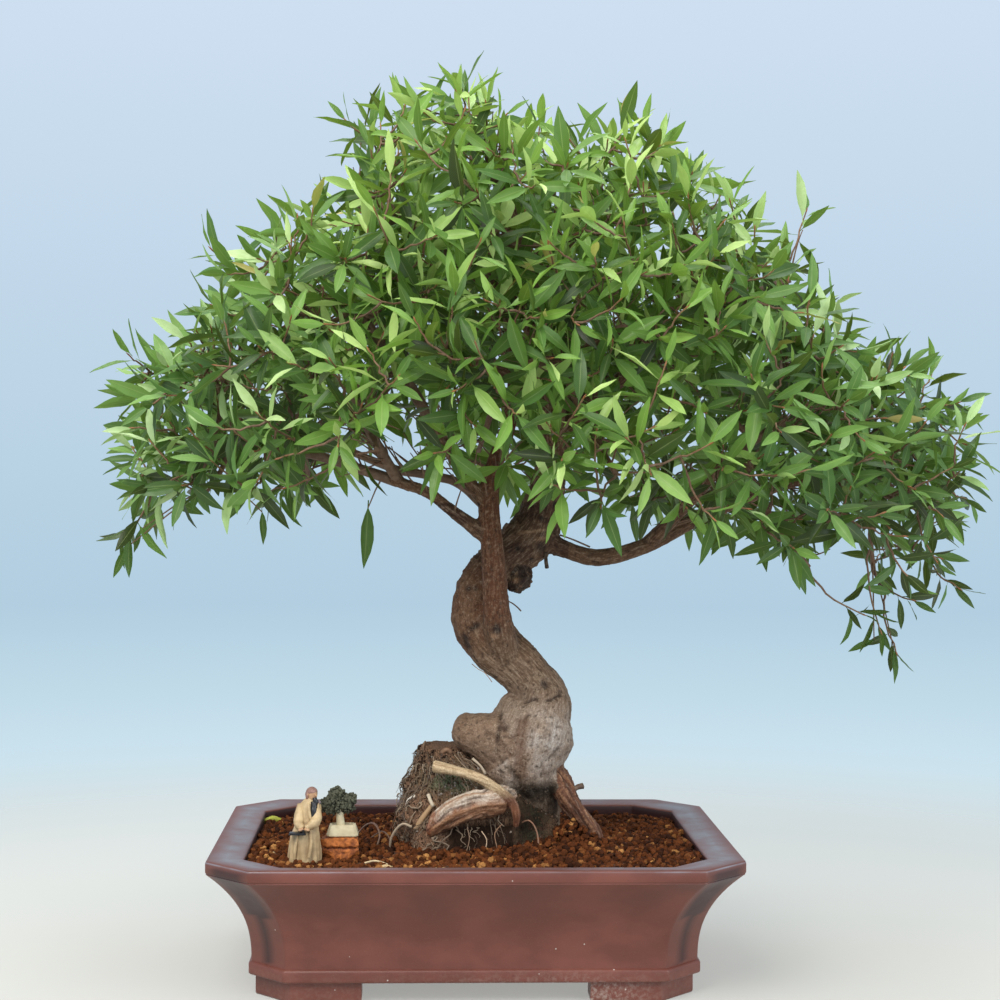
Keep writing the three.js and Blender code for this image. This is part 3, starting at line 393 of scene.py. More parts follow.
def dress(node, look):
    """A look on a CAD node that stays in the visual model."""
    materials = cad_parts[node].data.materials
    materials.clear()
    materials.append(look)


class Heap:
    """Points, faces and layers of several shapes, gathered for one mesh."""

    def __init__(self):
        self.points, self.faces, self.kinds, self.layers, self.count = [], [], [], {}, 0

    def add(self, points, faces, kind=0, **layers):
        """A shape with the look of number kind. A layer may be one value for all of its points."""
        points = np.asarray(points, float).reshape(-1, 3)
        self.points.append(points)
        faces = faces.tolist() if isinstance(faces, np.ndarray) else faces
        self.faces += [[i + self.count for i in face] for face in faces]
        self.kinds += [kind] * len(faces)
        for key, value in layers.items():
            value = np.asarray(value, float)
            if value.ndim < 2 and len(value) != len(points):
                value = np.broadcast_to(value, (len(points), len(value)))
            self.layers.setdefault(key, []).append(value)
        self.count += len(points)

    def mesh(self, name):
        layers = {key: np.concatenate(values) for key, values in self.layers.items()}
        mesh = new_mesh(name, np.concatenate(self.points), self.faces, True, layers)
        mesh.polygons.foreach_set("material_index", self.kinds)
        return mesh

    def piece(self, name, looks, slot, stands_for=()):
        new_piece(name, self.mesh(name), looks, stands_for)


def frames_along(points):
    """Two directions across at each point of a line, turned as little as possible along it."""
    tangents = unit(np.gradient(points, axis=0))
    sides = np.empty_like(points)
    side = np.array([0.31, 0.95, 0.05])
    for i, tangent in enumerate(tangents):
        side = unit(side - side.dot(tangent) * tangent)
        sides[i] = side
    return sides, np.cross(tangents, sides)


def tube_faces(rings, sides):
    """Quads between closed rings of points."""
    r, s = np.meshgrid(np.arange(rings - 1), np.arange(sides), indexing="ij")
    a = r * sides + s
    b = r * sides + (s + 1) % sides
    return np.stack([a, b, b + sides, a + sides], -1).reshape(-1, 4)


def tube(points, radii, sides, waves=None):
    """Points and quads of a round tube with open ends."""
    first, second = frames_along(points)
    angles = np.arange(sides) * 2 * math.pi / sides
    r = np.asarray(radii, float)[:, None] * (1 if waves is None else 1 + waves(angles[None, :]))
    r = np.broadcast_to(r, (len(points), sides))
    ring = points[:, None] + first[:, None] * (r * np.cos(angles))[..., None]
    ring = ring + second[:, None] * (r * np.sin(angles))[..., None]
    return ring.reshape(-1, 3), tube_faces(len(points), sides)


def capped(points, quads, sides):
    """A tube's points and faces with a fan closing each end."""
    count = len(points)
    ends = np.vstack([points, points[:sides].mean(0), points[-sides:].mean(0)])
    faces = quads.tolist()
    for s in range(sides):
        n = (s + 1) % sides
        faces.append([count, n, s])
        faces.append([count + 1, count - sides + s, count - sides + n])
    return ends, faces


def add_limb(heap, stations, sides, spacing, ripple=0.0, steps=20, t0=0.0, t1=1.0, **layers):
    """A closed round limb through stations, between the shares t0 and t1 of its length."""
    count = max(3, int(length_of(stations) * (t1 - t0) / spacing))
    t = np.linspace(t0, t1, count + 1)
    points, radii = curve_at(stations, t)
    i = (t * steps)[:, None]

    def waves(a):
        return ripple * (np.sin(2 * a + 0.9 * i) + 0.6 * np.sin(3 * a - 1.7 * i))

    heap.add(*capped(*tube(points, radii, sides, waves), sides), **layers)


def add_scraps(heap, scraps, sides, spacing, ripple):
    """Stems, strands and scraps on a heap, each given by its line of points, radius and colour."""
    for line, radius, colour in scraps:
        stations = [(*point, radius) for point in line]
        add_limb(heap, stations, sides, spacing, ripple, 6, tint=rgb(*colour))


def wobble(points, size, seed=0.0, octaves=3):
    """Smooth noise at each point, from about -1 to 1, with features of the given size."""
    offset = Vector((seed, 1.7 * seed, -seed))
    points = np.asarray(points).tolist()
    return np.array([noise.fractal(Vector(p) / size + offset, 1.0, 2.0, octaves) for p in points])


# Looks


class Look:
    """A node material round one Principled shader."""

    def __init__(self, name):
        self.material = bpy.data.materials.new(name)
        self.material.use_nodes = True
        self.nodes = self.material.node_tree.nodes
        self.links = self.material.node_tree.links
        self.shader = self.nodes["Principled BSDF"]
        self.at = self.place()
        self.normal = None

    def put(self, node, key, value):
        """Link or set an input of a node."""
        socket = node.inputs[key]
        if isinstance(value, bpy.types.NodeSocket):
            self.links.new(value, socket)
        elif socket.type == "RGBA":
            socket.default_value = (*value, 1)
        else:
            socket.default_value = value

    def node(self, kind, inputs, **settings):
        made = self.nodes.new("ShaderNode" + kind)
        for key, value in settings.items():
            setattr(made, key, value)
        for key, value in inputs.items():
            self.put(made, key, value)
        return made

    def place(self, scale=(1, 1, 1)):
        """Object coordinates in millimetres, stretched by scale."""
        at = self.node("TexCoord", {}).outputs["Object"]
        return self.node("Mapping", {"Vector": at, "Scale": tuple(1000 * s for s in scale)}).outputs[0]

    def layer(self, name, output="Fac"):
        return self.node("Attribute", {}, attribute_name=name).outputs[output]

    def noise(self, size, detail=3.0, roughness=0.55, distortion=0.0, at=None):
        """Noise with features of the given size in millimetres."""
        values = {"Scale": 1 / size, "Detail": detail, "Roughness": roughness, "Distortion": distortion}
        return self.node("TexNoise", {"Vector": self.at if at is None else at, **values}).outputs["Fac"]

    def cells(self, size, at=None):
        """Distance from the nearest cell's point, for cells of the given size in millimetres."""
        values = {"Vector": self.at if at is None else at, "Scale": 1 / size}
        return self.node("TexVoronoi", values).outputs["Distance"]

    def step(self, value, low, high, start=0.0, end=1.0):
        """start below low, end above high, and smooth between."""
        values = {"Value": value, 1: low, 2: high, 3: start, 4: end}
        return self.node("MapRange", values, interpolation_type="SMOOTHSTEP").outputs[0]

    def blend(self, share, a, b, kind="MIX"):
        return self.node("Mix", {0: share, 6: a, 7: b}, data_type="RGBA", blend_type=kind).outputs[2]

    def math(self, operation, a, b=0.0):
        return self.node("Math", {0: a, 1: b}, operation=operation).outputs[0]

    def times(self, a, b):
        return self.math("MULTIPLY", a, b)

    def bump(self, height, strength, distance):
        """Relief of up to a distance in millimetres, over the relief so far."""
        under = {} if self.normal is None else {"Normal": self.normal}
        values = {"Height": height, "Strength": strength, "Distance": distance / 1000, **under}
        self.normal = self.node("Bump", values).outputs[0]

    def paint(self, colour, *coats):
        """Give the look a colour, with coats over it, each a share and a colour."""
        for share, coat in coats:
            colour = self.blend(share, colour, coat)
        self.put(self.shader, "Base Color", colour)

    def finish(self, roughness, specular=0.5):
        """The material, once its colour and relief are made."""
        self.put(self.shader, "Roughness", roughness)
        self.put(self.shader, "Specular IOR Level", specular)
        if self.normal is not None:
            self.put(self.shader, "Normal", self.normal)
        return self.material


def clay_look():
    """Unglazed brown clay: fine grain, pits, lime, dust and a painted bluish sky reflection on the rim's top,
    pale bloom at the feet.
    """
    look = Look("clay")
    cloud = look.noise(60, 4, at=look.place((1, 1, 1.6)))
    grain = look.noise(1.1, 2)
    lime = look.cells(23, look.place((1.1, 0.9, 1)))
    bloom = look.times(look.layer("bloom"), look.step(look.noise(4, 5, 0.75), 0.42, 0.64))
    dust_and_sky_reflection = look.times(look.layer("dust_and_sky_reflection"), look.step(look.noise(34, 4, 0.6), 0.25, 0.7, 0.25, 0.9))
    look.paint(
        look.blend(look.step(cloud, 0.35, 0.7), rgb(97, 50, 39), rgb(114, 62, 50)),
        (look.step(grain, 0.55, 0.75, 0, 0.25), rgb(128, 88, 74)),
        (look.step(look.cells(9), 0.04, 0.07, 0.5, 0), rgb(66, 38, 31)),
        (look.step(lime, 0.025, 0.04, 0.8, 0), rgb(200, 190, 180)),
        (look.layer("inner"), rgb(58, 27, 24)),
        (bloom, rgb(178, 164, 152)),
        # the rim's top: dust, in a bluish grey that is also a painted sky reflection
        (dust_and_sky_reflection, rgb(132, 138, 148)),
        (look.layer("smudge"), rgb(48, 34, 32)),
    )
    look.bump(grain, 0.2, 0.2)
    look.bump(look.noise(5, 3, at=look.place((0.25, 0.25, 1.4))), 0.12, 0.4)
    return look.finish(look.math("ADD", look.step(cloud, 0.3, 0.7, 0.38, 0.5), look.times(bloom, 0.3)))


def bark_look():
    """Bark whose colour is painted on the mesh, with fibres along the limb and fine cracks."""
    look = Look("bark")
    grain, fibrous, tint = look.layer("grain", "Vector"), look.layer("fibrous"), look.layer("tint", "Color")
    along_limb = look.node("Mapping", {"Vector": grain, "Scale": (1, 1, 0.16)}).outputs[0]
    round_limb = look.node("Mapping", {"Vector": grain, "Scale": (0.2, 0.2, 1)}).outputs[0]
    fibre = look.noise(2.2, 4, 0.65, at=along_limb)
    rings = look.noise(2.6, 3, at=round_limb)
    spots, fine, pits = look.noise(3.2, 4, 0.7), look.noise(1.6, 4, 0.7), look.cells(4.6)
    smooth = look.math("SUBTRACT", 1.0, look.times(fibrous, 0.85))
    dark = look.blend(1.0, tint, rgb(168, 150, 134), "MULTIPLY")
    light = look.blend(0.3, tint, rgb(226, 208, 186))
    look.paint(
        tint,
        (look.times(look.step(fibre, 0.36, 0.6, 1, 0), fibrous), dark),
        (look.times(look.step(spots, 0.5, 0.72, 0, 0.7), smooth), light),
        (look.times(look.step(fibre, 0.52, 0.68, 0, 0.55), fibrous), light),
        (look.step(fine, 0.46, 0.6, 0.4, 0), dark),
        (look.times(look.step(rings, 0.28, 0.4, 0.6, 0), fibrous), dark),
        (look.times(look.step(pits, 0.12, 0.24, 0.9, 0), smooth), dark),
    )
    look.bump(fibre, look.times(fibrous, 0.9), 0.8)
    look.bump(rings, look.times(fibrous, 0.5), 0.5)
    look.bump(fine, 0.7, 0.5)
    look.bump(look.step(pits, 0.1, 0.3), 0.6, 0.7)
    return look.finish(look.step(spots, 0.3, 0.7, 0.72, 0.92), 0.35)


def leaf_look():
    """Leaf blade: colour of its own, pale midrib, faint side veins, satin."""
    look = Look("leaf")
    across, down, _ = look.node("SeparateXYZ", {0: look.layer("blade", "Vector")}).outputs
    tint = look.layer("tint", "Color")
    side = look.math("ABSOLUTE", across)
    rib = look.step(side, 0.02, 0.09, 1, 0)
    veins = look.math("SINE", look.times(look.math("ADD", look.times(down, 9), side), 20))
    veins = look.step(veins, 0.3, 1.0, 0, 0.12)
    mottle = look.noise(9)
    pale = look.blend(0.5, tint, rgb(200, 216, 140))
    look.paint(
        tint,
        (look.step(mottle, 0.3, 0.7, 0, 0.35), look.blend(1.0, tint, rgb(205, 218, 180), "MULTIPLY")),
        (veins, pale),
        (look.times(rib, 0.4), pale),
    )
    look.bump(look.math("ADD", look.times(rib, -1), veins), 0.4, 0.4)
    look.finish(look.step(mottle, 0.3, 0.7, 0.34, 0.46), 0.32)
    through = look.node("BsdfTranslucent", {"Color": look.blend(0.5, tint, rgb(176, 205, 70))})
    both = look.node("MixShader", {0: 0.22, 1: look.shader.outputs[0], 2: through.outputs[0]})
    look.links.new(both.outputs[0], look.nodes["Material Output"].inputs[0])
    return look.material


def twig_look():
    """Thin wood in the colour painted on the mesh."""
    look = Look("twig")
    patches = look.noise(6, 4)
    tint = look.layer("tint", "Color")
    look.paint(tint, (look.step(patches, 0.4, 0.65, 0, 0.6), look.blend(0.4, tint, rgb(160, 140, 118))))
    look.bump(look.noise(1.4), 0.5, 0.4)
    return look.finish(look.step(patches, 0.3, 0.7, 0.6, 0.8))


def crumb_look(name, dark, mid, light, size):
    """Granules and crumbs, each with its own shade from the mesh."""
    look = Look(name)
    shade = look.layer("shade")
    fine = look.noise(size, 4, 0.7)
    look.paint(
        look.blend(look.step(shade, 0.0, 0.6), dark, mid),
        (look.step(shade, 0.6, 1.0), light),
        (look.step(fine, 0.35, 0.65, 0.45, 0), dark),
    )
    look.bump(fine, 0.8, 0.6)
    return look.finish(look.step(fine, 0.3, 0.7, 0.85, 1.0), 0.15)


def soil_look():
    """The soil under the granules: a pattern of grains, dark between them."""
    look = Look("soil")
    cell, fine = look.cells(5.5), look.noise(1.2, 4, 0.7)
    look.paint(
        look.blend(look.step(cell, 0.2, 0.7), rgb(104, 62, 36), rgb(40, 22, 12)),
        (look.step(fine, 0.4, 0.7, 0, 0.5), rgb(130, 82, 50)),
    )
    look.bump(look.step(cell, 0.0, 0.8, 1, 0), 0.9, 2.5)
    return look.finish(look.step(fine, 0.3, 0.7, 0.85, 1.0))


def mat_look():
    """The root ball: matted roots and old soil, mossy in places, with painted shade in its hollows."""
    look = Look("root_mat")
    fibre = look.noise(2.4, 5, 0.7, 1.2, look.place((1.5, 1.5, 0.35)))
    moss = look.times(look.layer("moss"), look.step(look.noise(14, 4, 0.6), 0.35, 0.5))
    green = look.blend(look.step(look.noise(2, 4, 0.7), 0.35, 0.65), rgb(46, 52, 28), rgb(118, 122, 98))
    look.paint(
        look.blend(look.step(fibre, 0.35, 0.65), rgb(46, 28, 18), rgb(158, 122, 97)),
        (look.step(look.noise(1.6), 0.58, 0.75, 0, 0.6), rgb(160, 142, 124)),
        (moss, green),
        # painted shade in the hollows, and on the right where the moss is dark too
        (look.times(look.layer("hollow"), 0.93), rgb(26, 15, 9)),
    )
    look.bump(fibre, 1.0, 1.6)
    return look.finish(look.step(fibre, 0.3, 0.7, 0.85, 1.0), 0.1)


def glaze_look(name, base, dark, size, roughness, depth=0.3, deep=0.45):
    """Painted or glazed figurine clay, darker in its hollows."""
    look = Look(name)
    patches = look.noise(size, 4, 0.6)
    hollow = look.node("NewGeometry", {}).outputs["Pointiness"]
    look.paint(
        base,
        (look.step(patches, 0.35, 0.68), look.blend(deep, base, dark)),
        (look.step(hollow, 0.46, 0.5, 0.7, 0), dark),
    )
    look.bump(look.noise(0.7), 0.35, depth)
    return look.finish(look.step(patches, 0.3, 0.7, roughness - 0.08, roughness + 0.1))


def screen_look():
    """Black plastic mesh."""
    look = Look("mesh_plastic")
    weave = look.times(look.cells(1.6), look.noise(3))
    look.paint(look.blend(look.step(weave, 0.05, 0.4), rgb(22, 26, 22), rgb(54, 60, 52)))
    look.bump(weave, 0.6, 0.5)
    return look.finish(look.step(weave, 0, 0.5, 0.5, 0.7))


# Pot

# How far from a corner of the pot its rounding begins
ROUNDING = 2.1


def wall_inset(z):
    """How far the outside of the wall stands in from the rim at a height."""
    t = (z - FOOT_HEIGHT - BAND_HEIGHT) / (POT_HEIGHT - RIM_FACE - FOOT_HEIGHT - BAND_HEIGHT)
    return WALL_FLARE * (1 - np.maximum(t, 0.0) ** WALL_CURVE)


def cut_corners(half_x, half_y, cut):
    """The corners of a rectangle whose own corners are cut off, in order round it."""
    return np.array([
        (half_x, cut - half_y), (half_x, half_y - cut), (half_x - cut, half_y), (cut - half_x, half_y),
        (-half_x, half_y - cut), (-half_x, cut - half_y), (cut - half_x, -half_y), (half_x - cut, -half_y),
    ])


def pot_ring(z, inset_x, inset_y):
    """A level of the pot: a rectangle with cut corners, every corner a little rounded."""
    cut = CORNER_CUT - CORNER_NARROWING * min(inset_x, inset_y)
    corners = cut_corners(POT_LENGTH / 2 - inset_x, POT_DEPTH / 2 - inset_y, cut)
    points = []
    for before, here, after in zip(np.roll(corners, 1, 0), corners, np.roll(corners, -1, 0)):
        back, ahead = unit(before - here) * ROUNDING, unit(after - here) * ROUNDING
        points += [bow(here + back, here, here + ahead, t) for t in np.linspace(0, 1, 5)]
        points += [mix(here + ahead, after - ahead, share) for share in (0.25, 0.5, 0.75)]
    return np.column_stack([points, np.full(len(points), z)])


def pot_levels():
    """The pot's levels, up its outside, over its rim and down its inside: height and insets."""
    band = WALL_FLARE - BAND_OUT
    band_top = FOOT_HEIGHT + BAND_HEIGHT
    outside = [(20.0, band + 2.4), (20.3, band + 1.2), (21.2, band + 0.3), (22.6, band)]
    outside += [(z, band) for z in np.linspace(24, band_top - 3, 3)]
    outside += [(31.4, band + 0.4), (32.3, band + 1.2), (32.8, band + 2.2)]
    outside += [(z, wall_inset(z)) for z in np.linspace(band_top, POT_HEIGHT - RIM_FACE - 0.6, 26)]
    outside += [(122.3, 0.9), (122.9, 0.25), (123.9, 0), (128, 0), (131.6, 0), (132.9, 0.25), (133.7, 0.9)]
    levels = [(z, inset, inset) for z, inset in [*outside, (134.0, 1.9)]]
    for share, z in ((0.5, 133.2), (0.9, 132.3), (0.965, 132.05), (1.0, 131.4)):
        levels.append((z, mix(1.9, RIM_TOP_AT_ENDS, share), mix(1.9, RIM_TOP_AT_FRONT, share)))
    for z in (130.0, 126, 120, 112, 104, 95, 78, 60, FLOOR):
        wall = wall_inset(z) + WALL_THICKNESS
        levels.append((z, max(RIM_TOP_AT_ENDS + 0.6, wall), max(RIM_TOP_AT_FRONT + 0.6, wall)))
    return levels


def make_pot(look):
    """The pot with its feet and drain holes, and layers for bloom, dust with a painted sky reflection on the
    rim's top, smudges and the inside.
    """
    rings = [pot_ring(*level) for level in pot_levels()]
    sides = len(rings[0])
    heap = Heap()
    heap.add(np.vstack(rings), tube_faces(len(rings), sides))
    heap.add(*foot_shapes())
    mesh = heap.mesh("pot_clay")
    bm = bmesh.new()
    bm.from_mesh(mesh)
    bm.verts.ensure_lookup_table()
    last = sides * (len(rings) - 1)
    bottoms = [(bm.verts[:sides], FOOT_HEIGHT), (bm.verts[last : last + sides], FLOOR)]
    for ring, z in bottoms:
        edges = [bm.edges.get(ends) for ends in zip(ring, ring[1:] + ring[:1])]
        for x in (-DRAIN_X, DRAIN_X):
            hole = [
                bm.verts.new(to_frame([x + DRAIN_RADIUS * math.cos(a), DRAIN_RADIUS * math.sin(a), z]))
                for a in turns(32)
            ]
            edges += [bm.edges.new(ends) for ends in zip(hole, hole[1:] + hole[:1])]
        bmesh.ops.triangle_fill(bm, edges=edges, use_beauty=True)
    bmesh.ops.bridge_loops(bm, edges=[edge for edge in bm.edges if edge.is_boundary])
    bmesh.ops.recalc_face_normals(bm, faces=bm.faces)
    bm.to_mesh(mesh)
    bm.free()
    smooth_but_sharp(mesh, 38)
    x, y, z = from_frame(mesh.vertices).T
    low = ramp(z, 34, 18)
    bloom = low * (0.07 + (y < 0) * (0.5 * near(x, 45, 35) + 0.6 * near(x, 120, 25)))
    # dust and a painted sky reflection on the rim's top, more of it towards the ends
    dust_and_sky_reflection = ramp(z, 131.5, 132.7) * (z < 133.6) * (0.4 + 0.6 * ramp(np.abs(x), 190, 220))
    wall = np.minimum(POT_LENGTH / 2 - np.abs(x), POT_DEPTH / 2 - np.abs(y))
    inner = (z < 131.2) * (z > FLOOR) * (wall > WALL_THICKNESS + wall_inset(z) - 4)
    smudge = 0.8 * (y < -150) * (near(x, -245, 4) * near(z, 117, 4) + near(x, -238, 3) * near(z, 107, 3))
    for name, values in (("bloom", bloom), ("dust_and_sky_reflection", dust_and_sky_reflection), ("inner", inner), ("smudge", smudge)):
        set_layer(mesh, name, values)
    new_piece("pot_clay", mesh, [look], ["pot"])


def foot_shapes():
    """The four L-shaped feet, with their lower edges rounded."""
    end_x = POT_LENGTH / 2 - WALL_FLARE + BAND_OUT - FOOT_INSET
    end_y = POT_DEPTH / 2 - WALL_FLARE + BAND_OUT - FOOT_INSET
    cut = CORNER_CUT - CORNER_NARROWING * WALL_FLARE
    outline = np.array([
        (end_x, end_y - FOOT_DEPTH), (end_x, end_y - cut), (end_x - cut, end_y),
        (end_x - FOOT_LENGTH, end_y), (end_x - FOOT_LENGTH, end_y - FOOT_WIDTH),
        (end_x - FOOT_WIDTH - cut / 2, end_y - FOOT_WIDTH),
        (end_x - FOOT_WIDTH, end_y - FOOT_WIDTH - cut / 2), (end_x - FOOT_WIDTH, end_y - FOOT_DEPTH),
    ])
    ahead = unit(np.roll(outline, -1, 0) - outline)
    behind = np.roll(ahead, 1, 0)
    normal = np.stack([ahead[:, 1] + behind[:, 1], -ahead[:, 0] - behind[:, 0]], 1)
    inward = -normal / (1 + (ahead * behind).sum(1))[:, None]
    levels = ((21.0, 0), (2.2, 0), (0.9, 0.35), (0.25, 1.0), (0, 2.2))
    points, faces = [], []
    for sign_x, sign_y in ((1, 1), (1, -1), (-1, 1), (-1, -1)):
        base = len(points)
        for z, inset in levels:
            points += [(sign_x * x, sign_y * y, z) for x, y in outline + inward * inset]
        quads = (tube_faces(5, 8) + base).tolist()
        faces += [quad[::-1] for quad in quads] if sign_x == sign_y else quads
        under = base + 32
        faces += [[under + i for i in quad] for quad in ((0, 1, 6, 7), (1, 2, 5, 6), (2, 3, 4, 5))]
    return points, faces


# Soil

# A pile of granules against the right of the trunk's foot
PILE_AT, PILE_SPREAD, PILE_HEIGHT, PILE_COUNT = np.array([100.0, -32.0]), 15.0, 22.0, 260
# Layers of granules: name, pitch, least and greatest size, and height over the soil's surface
GRANULES = [("soil_granules_lower", 5.2, 2.2, 3.3, 0.0), ("soil_granules_upper", 7.2, 2.6, 4.2, 2.0)]
# Half the soil's length and depth, and how much its corners are cut
SOIL_X, SOIL_Y, SOIL_CUT = 218, 163, 36
# Dead stems and scraps on the soil: points of each, its radius and colour
LITTER = [
    ([(-206, -15, 124), (-196, -70, 126), (-182, -126, 127)], 0.9, (196, 176, 132)),
    ([(-222, 118, 122), (-213, 121, 125), (-204, 124, 122)], 3.2, (176, 180, 62)),
    ([(-141, -158, 127), (-126, -157, 129), (-112, -159, 127)], 1.3, (206, 182, 140)),
    ([(-112, -132, 127), (-97, -136, 132), (-84, -135, 128)], 1.1, (206, 184, 146)),
    ([(-93, -150, 127), (-87, -151, 130), (-80, -150, 128)], 2.0, (200, 170, 122)),
    ([(-46, -152, 127), (-38, -155, 129), (-30, -153, 128)], 1.2, (190, 160, 112)),
    ([(24, -157, 126), (34, -156, 128), (41, -159, 126)], 1.1, (186, 150, 104)),
    ([(96, -151, 126), (104, -154, 128), (115, -152, 126)], 1.2, (196, 168, 124)),
    ([(150, -140, 126), (158, -147, 127), (160, -156, 126)], 0.9, (150, 120, 84)),
    (
        [(-122, 8, 124), (-110, -2, 140), (-100, -22, 146), (-94, -36, 138), (-97, -42, 126)],
        1.1, (112, 82, 68),
    ),
    ([(-104, -4, 128), (-92, -20, 138), (-84, -40, 134), (-86, -46, 124)], 0.7, (100, 74, 60)),
]


def soil_height(x, y):
    """The soil's surface, higher round the trunk."""
    rise = 11 * np.exp(-((x - 30) ** 2 + (y + 10) ** 2) / 95**2)
    waves = np.sin(x / 13 + 1) * np.cos(y / 11) + 0.5 * np.sin(x / 5.7 - y / 7.3)
    return 123.5 - 0.0225 * y + rise + 1.3 * waves


def ball_surface(angle, z, grow=0.0):
    """Where the root ball's surface lies at an angle and a height, moved out by grow."""
    levels = np.array(ROOT_BALL, float)
    cx, cy, rx, ry = (np.interp(z, levels[:, 0], levels[:, i]) for i in (1, 2, 3, 4))
    bump = 1 + 0.07 * np.sin(3 * angle + z / 17) + 0.05 * np.sin(7 * angle - z / 9)
    return cx + (rx + grow) * bump * np.cos(angle), cy + (ry + grow) * bump * np.sin(angle)


def icosahedron():
    bm = bmesh.new()
    bmesh.ops.create_icosphere(bm, subdivisions=1, radius=1.0)
    points = np.array([v.co for v in bm.verts])
    faces = np.array([[v.index for v in f.verts] for f in bm.faces])
    bm.free()
    return points, faces


def octahedron():
    points = np.vstack([np.eye(3), -np.eye(3)])
    faces = np.array([(0, 1, 2), (1, 3, 2), (3, 4, 2), (4, 0, 2), (1, 0, 5), (3, 1, 5), (4, 3, 5), (0, 4, 5)])
    return points, faces


def scatter(rng, sites, sizes, points, faces):
    """Copies of a small shape, each bent out of shape and turned at random."""
    count, corners = len(sites), len(points)
    lumps = points[None] * rng.uniform(0.72, 1.18, (count, corners, 1))
    lumps = lumps * rng.uniform(0.75, 1.2, (count, 1, 3))
    spin = unit(rng.normal(size=(count, 4)))
    w, x, y, z = spin.T
    turn = np.stack([
        1 - 2 * (y * y + z * z), 2 * (x * y - w * z), 2 * (x * z + w * y),
        2 * (x * y + w * z), 1 - 2 * (x * x + z * z), 2 * (y * z - w * x),
        2 * (x * z - w * y), 2 * (y * z + w * x), 1 - 2 * (x * x + y * y),
    ], 1).reshape(-1, 3, 3)
    placed = np.einsum("nij,nkj->nki", turn, lumps) * np.asarray(sizes)[:, None, None] + sites[:, None]
    index = faces[None] + (np.arange(count) * corners)[:, None, None]
    return placed.reshape(-1, 3), index.reshape(-1, faces.shape[1])


def soil_sites(rng, pitch):
    """Places of granules on the soil inside the pot, outside the root ball and the figurines."""
    xs, ys = np.meshgrid(np.arange(-222, 223, pitch), np.arange(-168, 169, pitch))
    sites = np.stack([xs.ravel(), ys.ravel()], 1) + rng.uniform(-0.45, 0.45, (xs.size, 2)) * pitch
    x, y = sites.T
    inside = (np.abs(x) < SOIL_X) & (np.abs(y) < SOIL_Y)
    inside &= np.abs(x) + np.abs(y) < SOIL_X + SOIL_Y - SOIL_CUT
    middle_x, middle_y = ROOT_BALL[1][1:3]
    edge_x, edge_y = ball_surface(np.arctan2(y - middle_y, x - middle_x), 126.0)
    ball = np.hypot(x - middle_x, y - middle_y) <= np.hypot(edge_x - middle_x, edge_y - middle_y) - 3
    scholar = (np.abs(x - SCHOLAR_AT[0]) < 15) & (np.abs(y - SCHOLAR_AT[1]) < 12)
    rock = (np.abs(x - ROCK_AT[0]) < 15) & (np.abs(y - ROCK_AT[1]) < 11)
    return sites[inside & ~ball & ~scholar & ~rock]


def make_soil(look, crumbs, litter_look):
    """The soil's own look, two layers of granules on it with a pile of them, and litter."""
    dress("soil", look)
    rng = np.random.default_rng(11)
    shape, faces = icosahedron()
    for name, pitch, least, most, lift in GRANULES:
        sites = soil_sites(rng, pitch)
        z = soil_height(*sites.T) + lift + rng.uniform(-0.6, 0.8, len(sites))
        if name.endswith("upper"):
            pile = PILE_AT + rng.normal(0, 1, (PILE_COUNT, 2)) * PILE_SPREAD
            rise = PILE_HEIGHT * np.exp(-((((pile - PILE_AT) / PILE_SPREAD) ** 2).sum(1)) / 2)
            high = rise * rng.random(PILE_COUNT) ** 0.3
            sites, z = np.vstack([sites, pile]), np.concatenate([z, soil_height(*pile.T) + high])
        sizes = rng.uniform(least, most, len(sites))
        points, triangles = scatter(rng, np.column_stack([sites, z]), sizes, shape, faces)
        x, y = sites.T
        # painted light: granules made lighter at the front left and at the front in the middle
        sunny = 0.18 * near(x, -190, 60) * (y < 0) + 0.2 * near(x, -30, 90) * ramp(y, -100, -130)
        shade = np.clip(rng.beta(1.5, 2.8, len(sites)) + sunny, 0, 1)
        mesh = new_mesh(name, points, triangles.tolist(), False, {"shade": np.repeat(shade, len(shape))})
        new_piece(name, mesh, [crumbs])
    litter = Heap()
    add_scraps(litter, LITTER, 6, 2.0, 0.15)
    litter.piece("litter", [litter_look], "soil")


# Root ball

# A point inside the root ball that its roughness points away from, and the height of its flat top
BALL_MIDDLE, BALL_TOP = np.array([-4, 0, 150]), 222
CRUMBS = 3400
# Fine roots: how many, and how many of them are long
FINE_ROOTS, LONG_ROOTS = 620, 90
# Scraps and thin roots on the root ball: points of each, its radius and colour
ROOT_SCRAPS = [
    ([(-40, -56, 173), (-50, -57, 160), (-58, -54, 146)], 3.0, (176, 142, 104)),
    ([(-69, -38, 158), (-66, -35, 171), (-59, -40, 177)], 1.7, (214, 202, 186)),
    ([(-2, -29, 213), (6, -31, 206), (11, -32, 198)], 1.4, (196, 178, 154)),
    ([(-33, -34, 219), (-28, -36, 223), (-24, -33, 219)], 2.6, (120, 84, 58)),
    ([(44, -62, 154), (54, -66, 157), (61, -70, 146), (63, -74, 124)], 0.8, (140, 100, 76)),
    ([(-84, -44, 116), (-82, -52, 138), (-72, -58, 152), (-62, -60, 150)], 1.3, (176, 156, 132)),
    ([(-50, -10, 210), (-51, -4, 221), (-49, 0, 226)], 1.1, (110, 84, 62)),
    ([(-46, -54, 181), (-44, -58, 176), (-41, -60, 170)], 1.9, (206, 190, 166)),
    ([(-8, -84, 154), (-6, -85, 142), (-10, -84, 126)], 0.4, (150, 120, 96)),
    ([(6, -82, 150), (11, -85, 141), (8, -86, 126)], 0.5, (196, 168, 138)),
    ([(26, -78, 156), (19, -83, 148), (21, -84, 134)], 0.4, (150, 112, 84)),
]


def off_ball(points, size):
    """The way out of the root ball at points, times a size for each."""
    return unit(points - BALL_MIDDLE) * size[:, None]


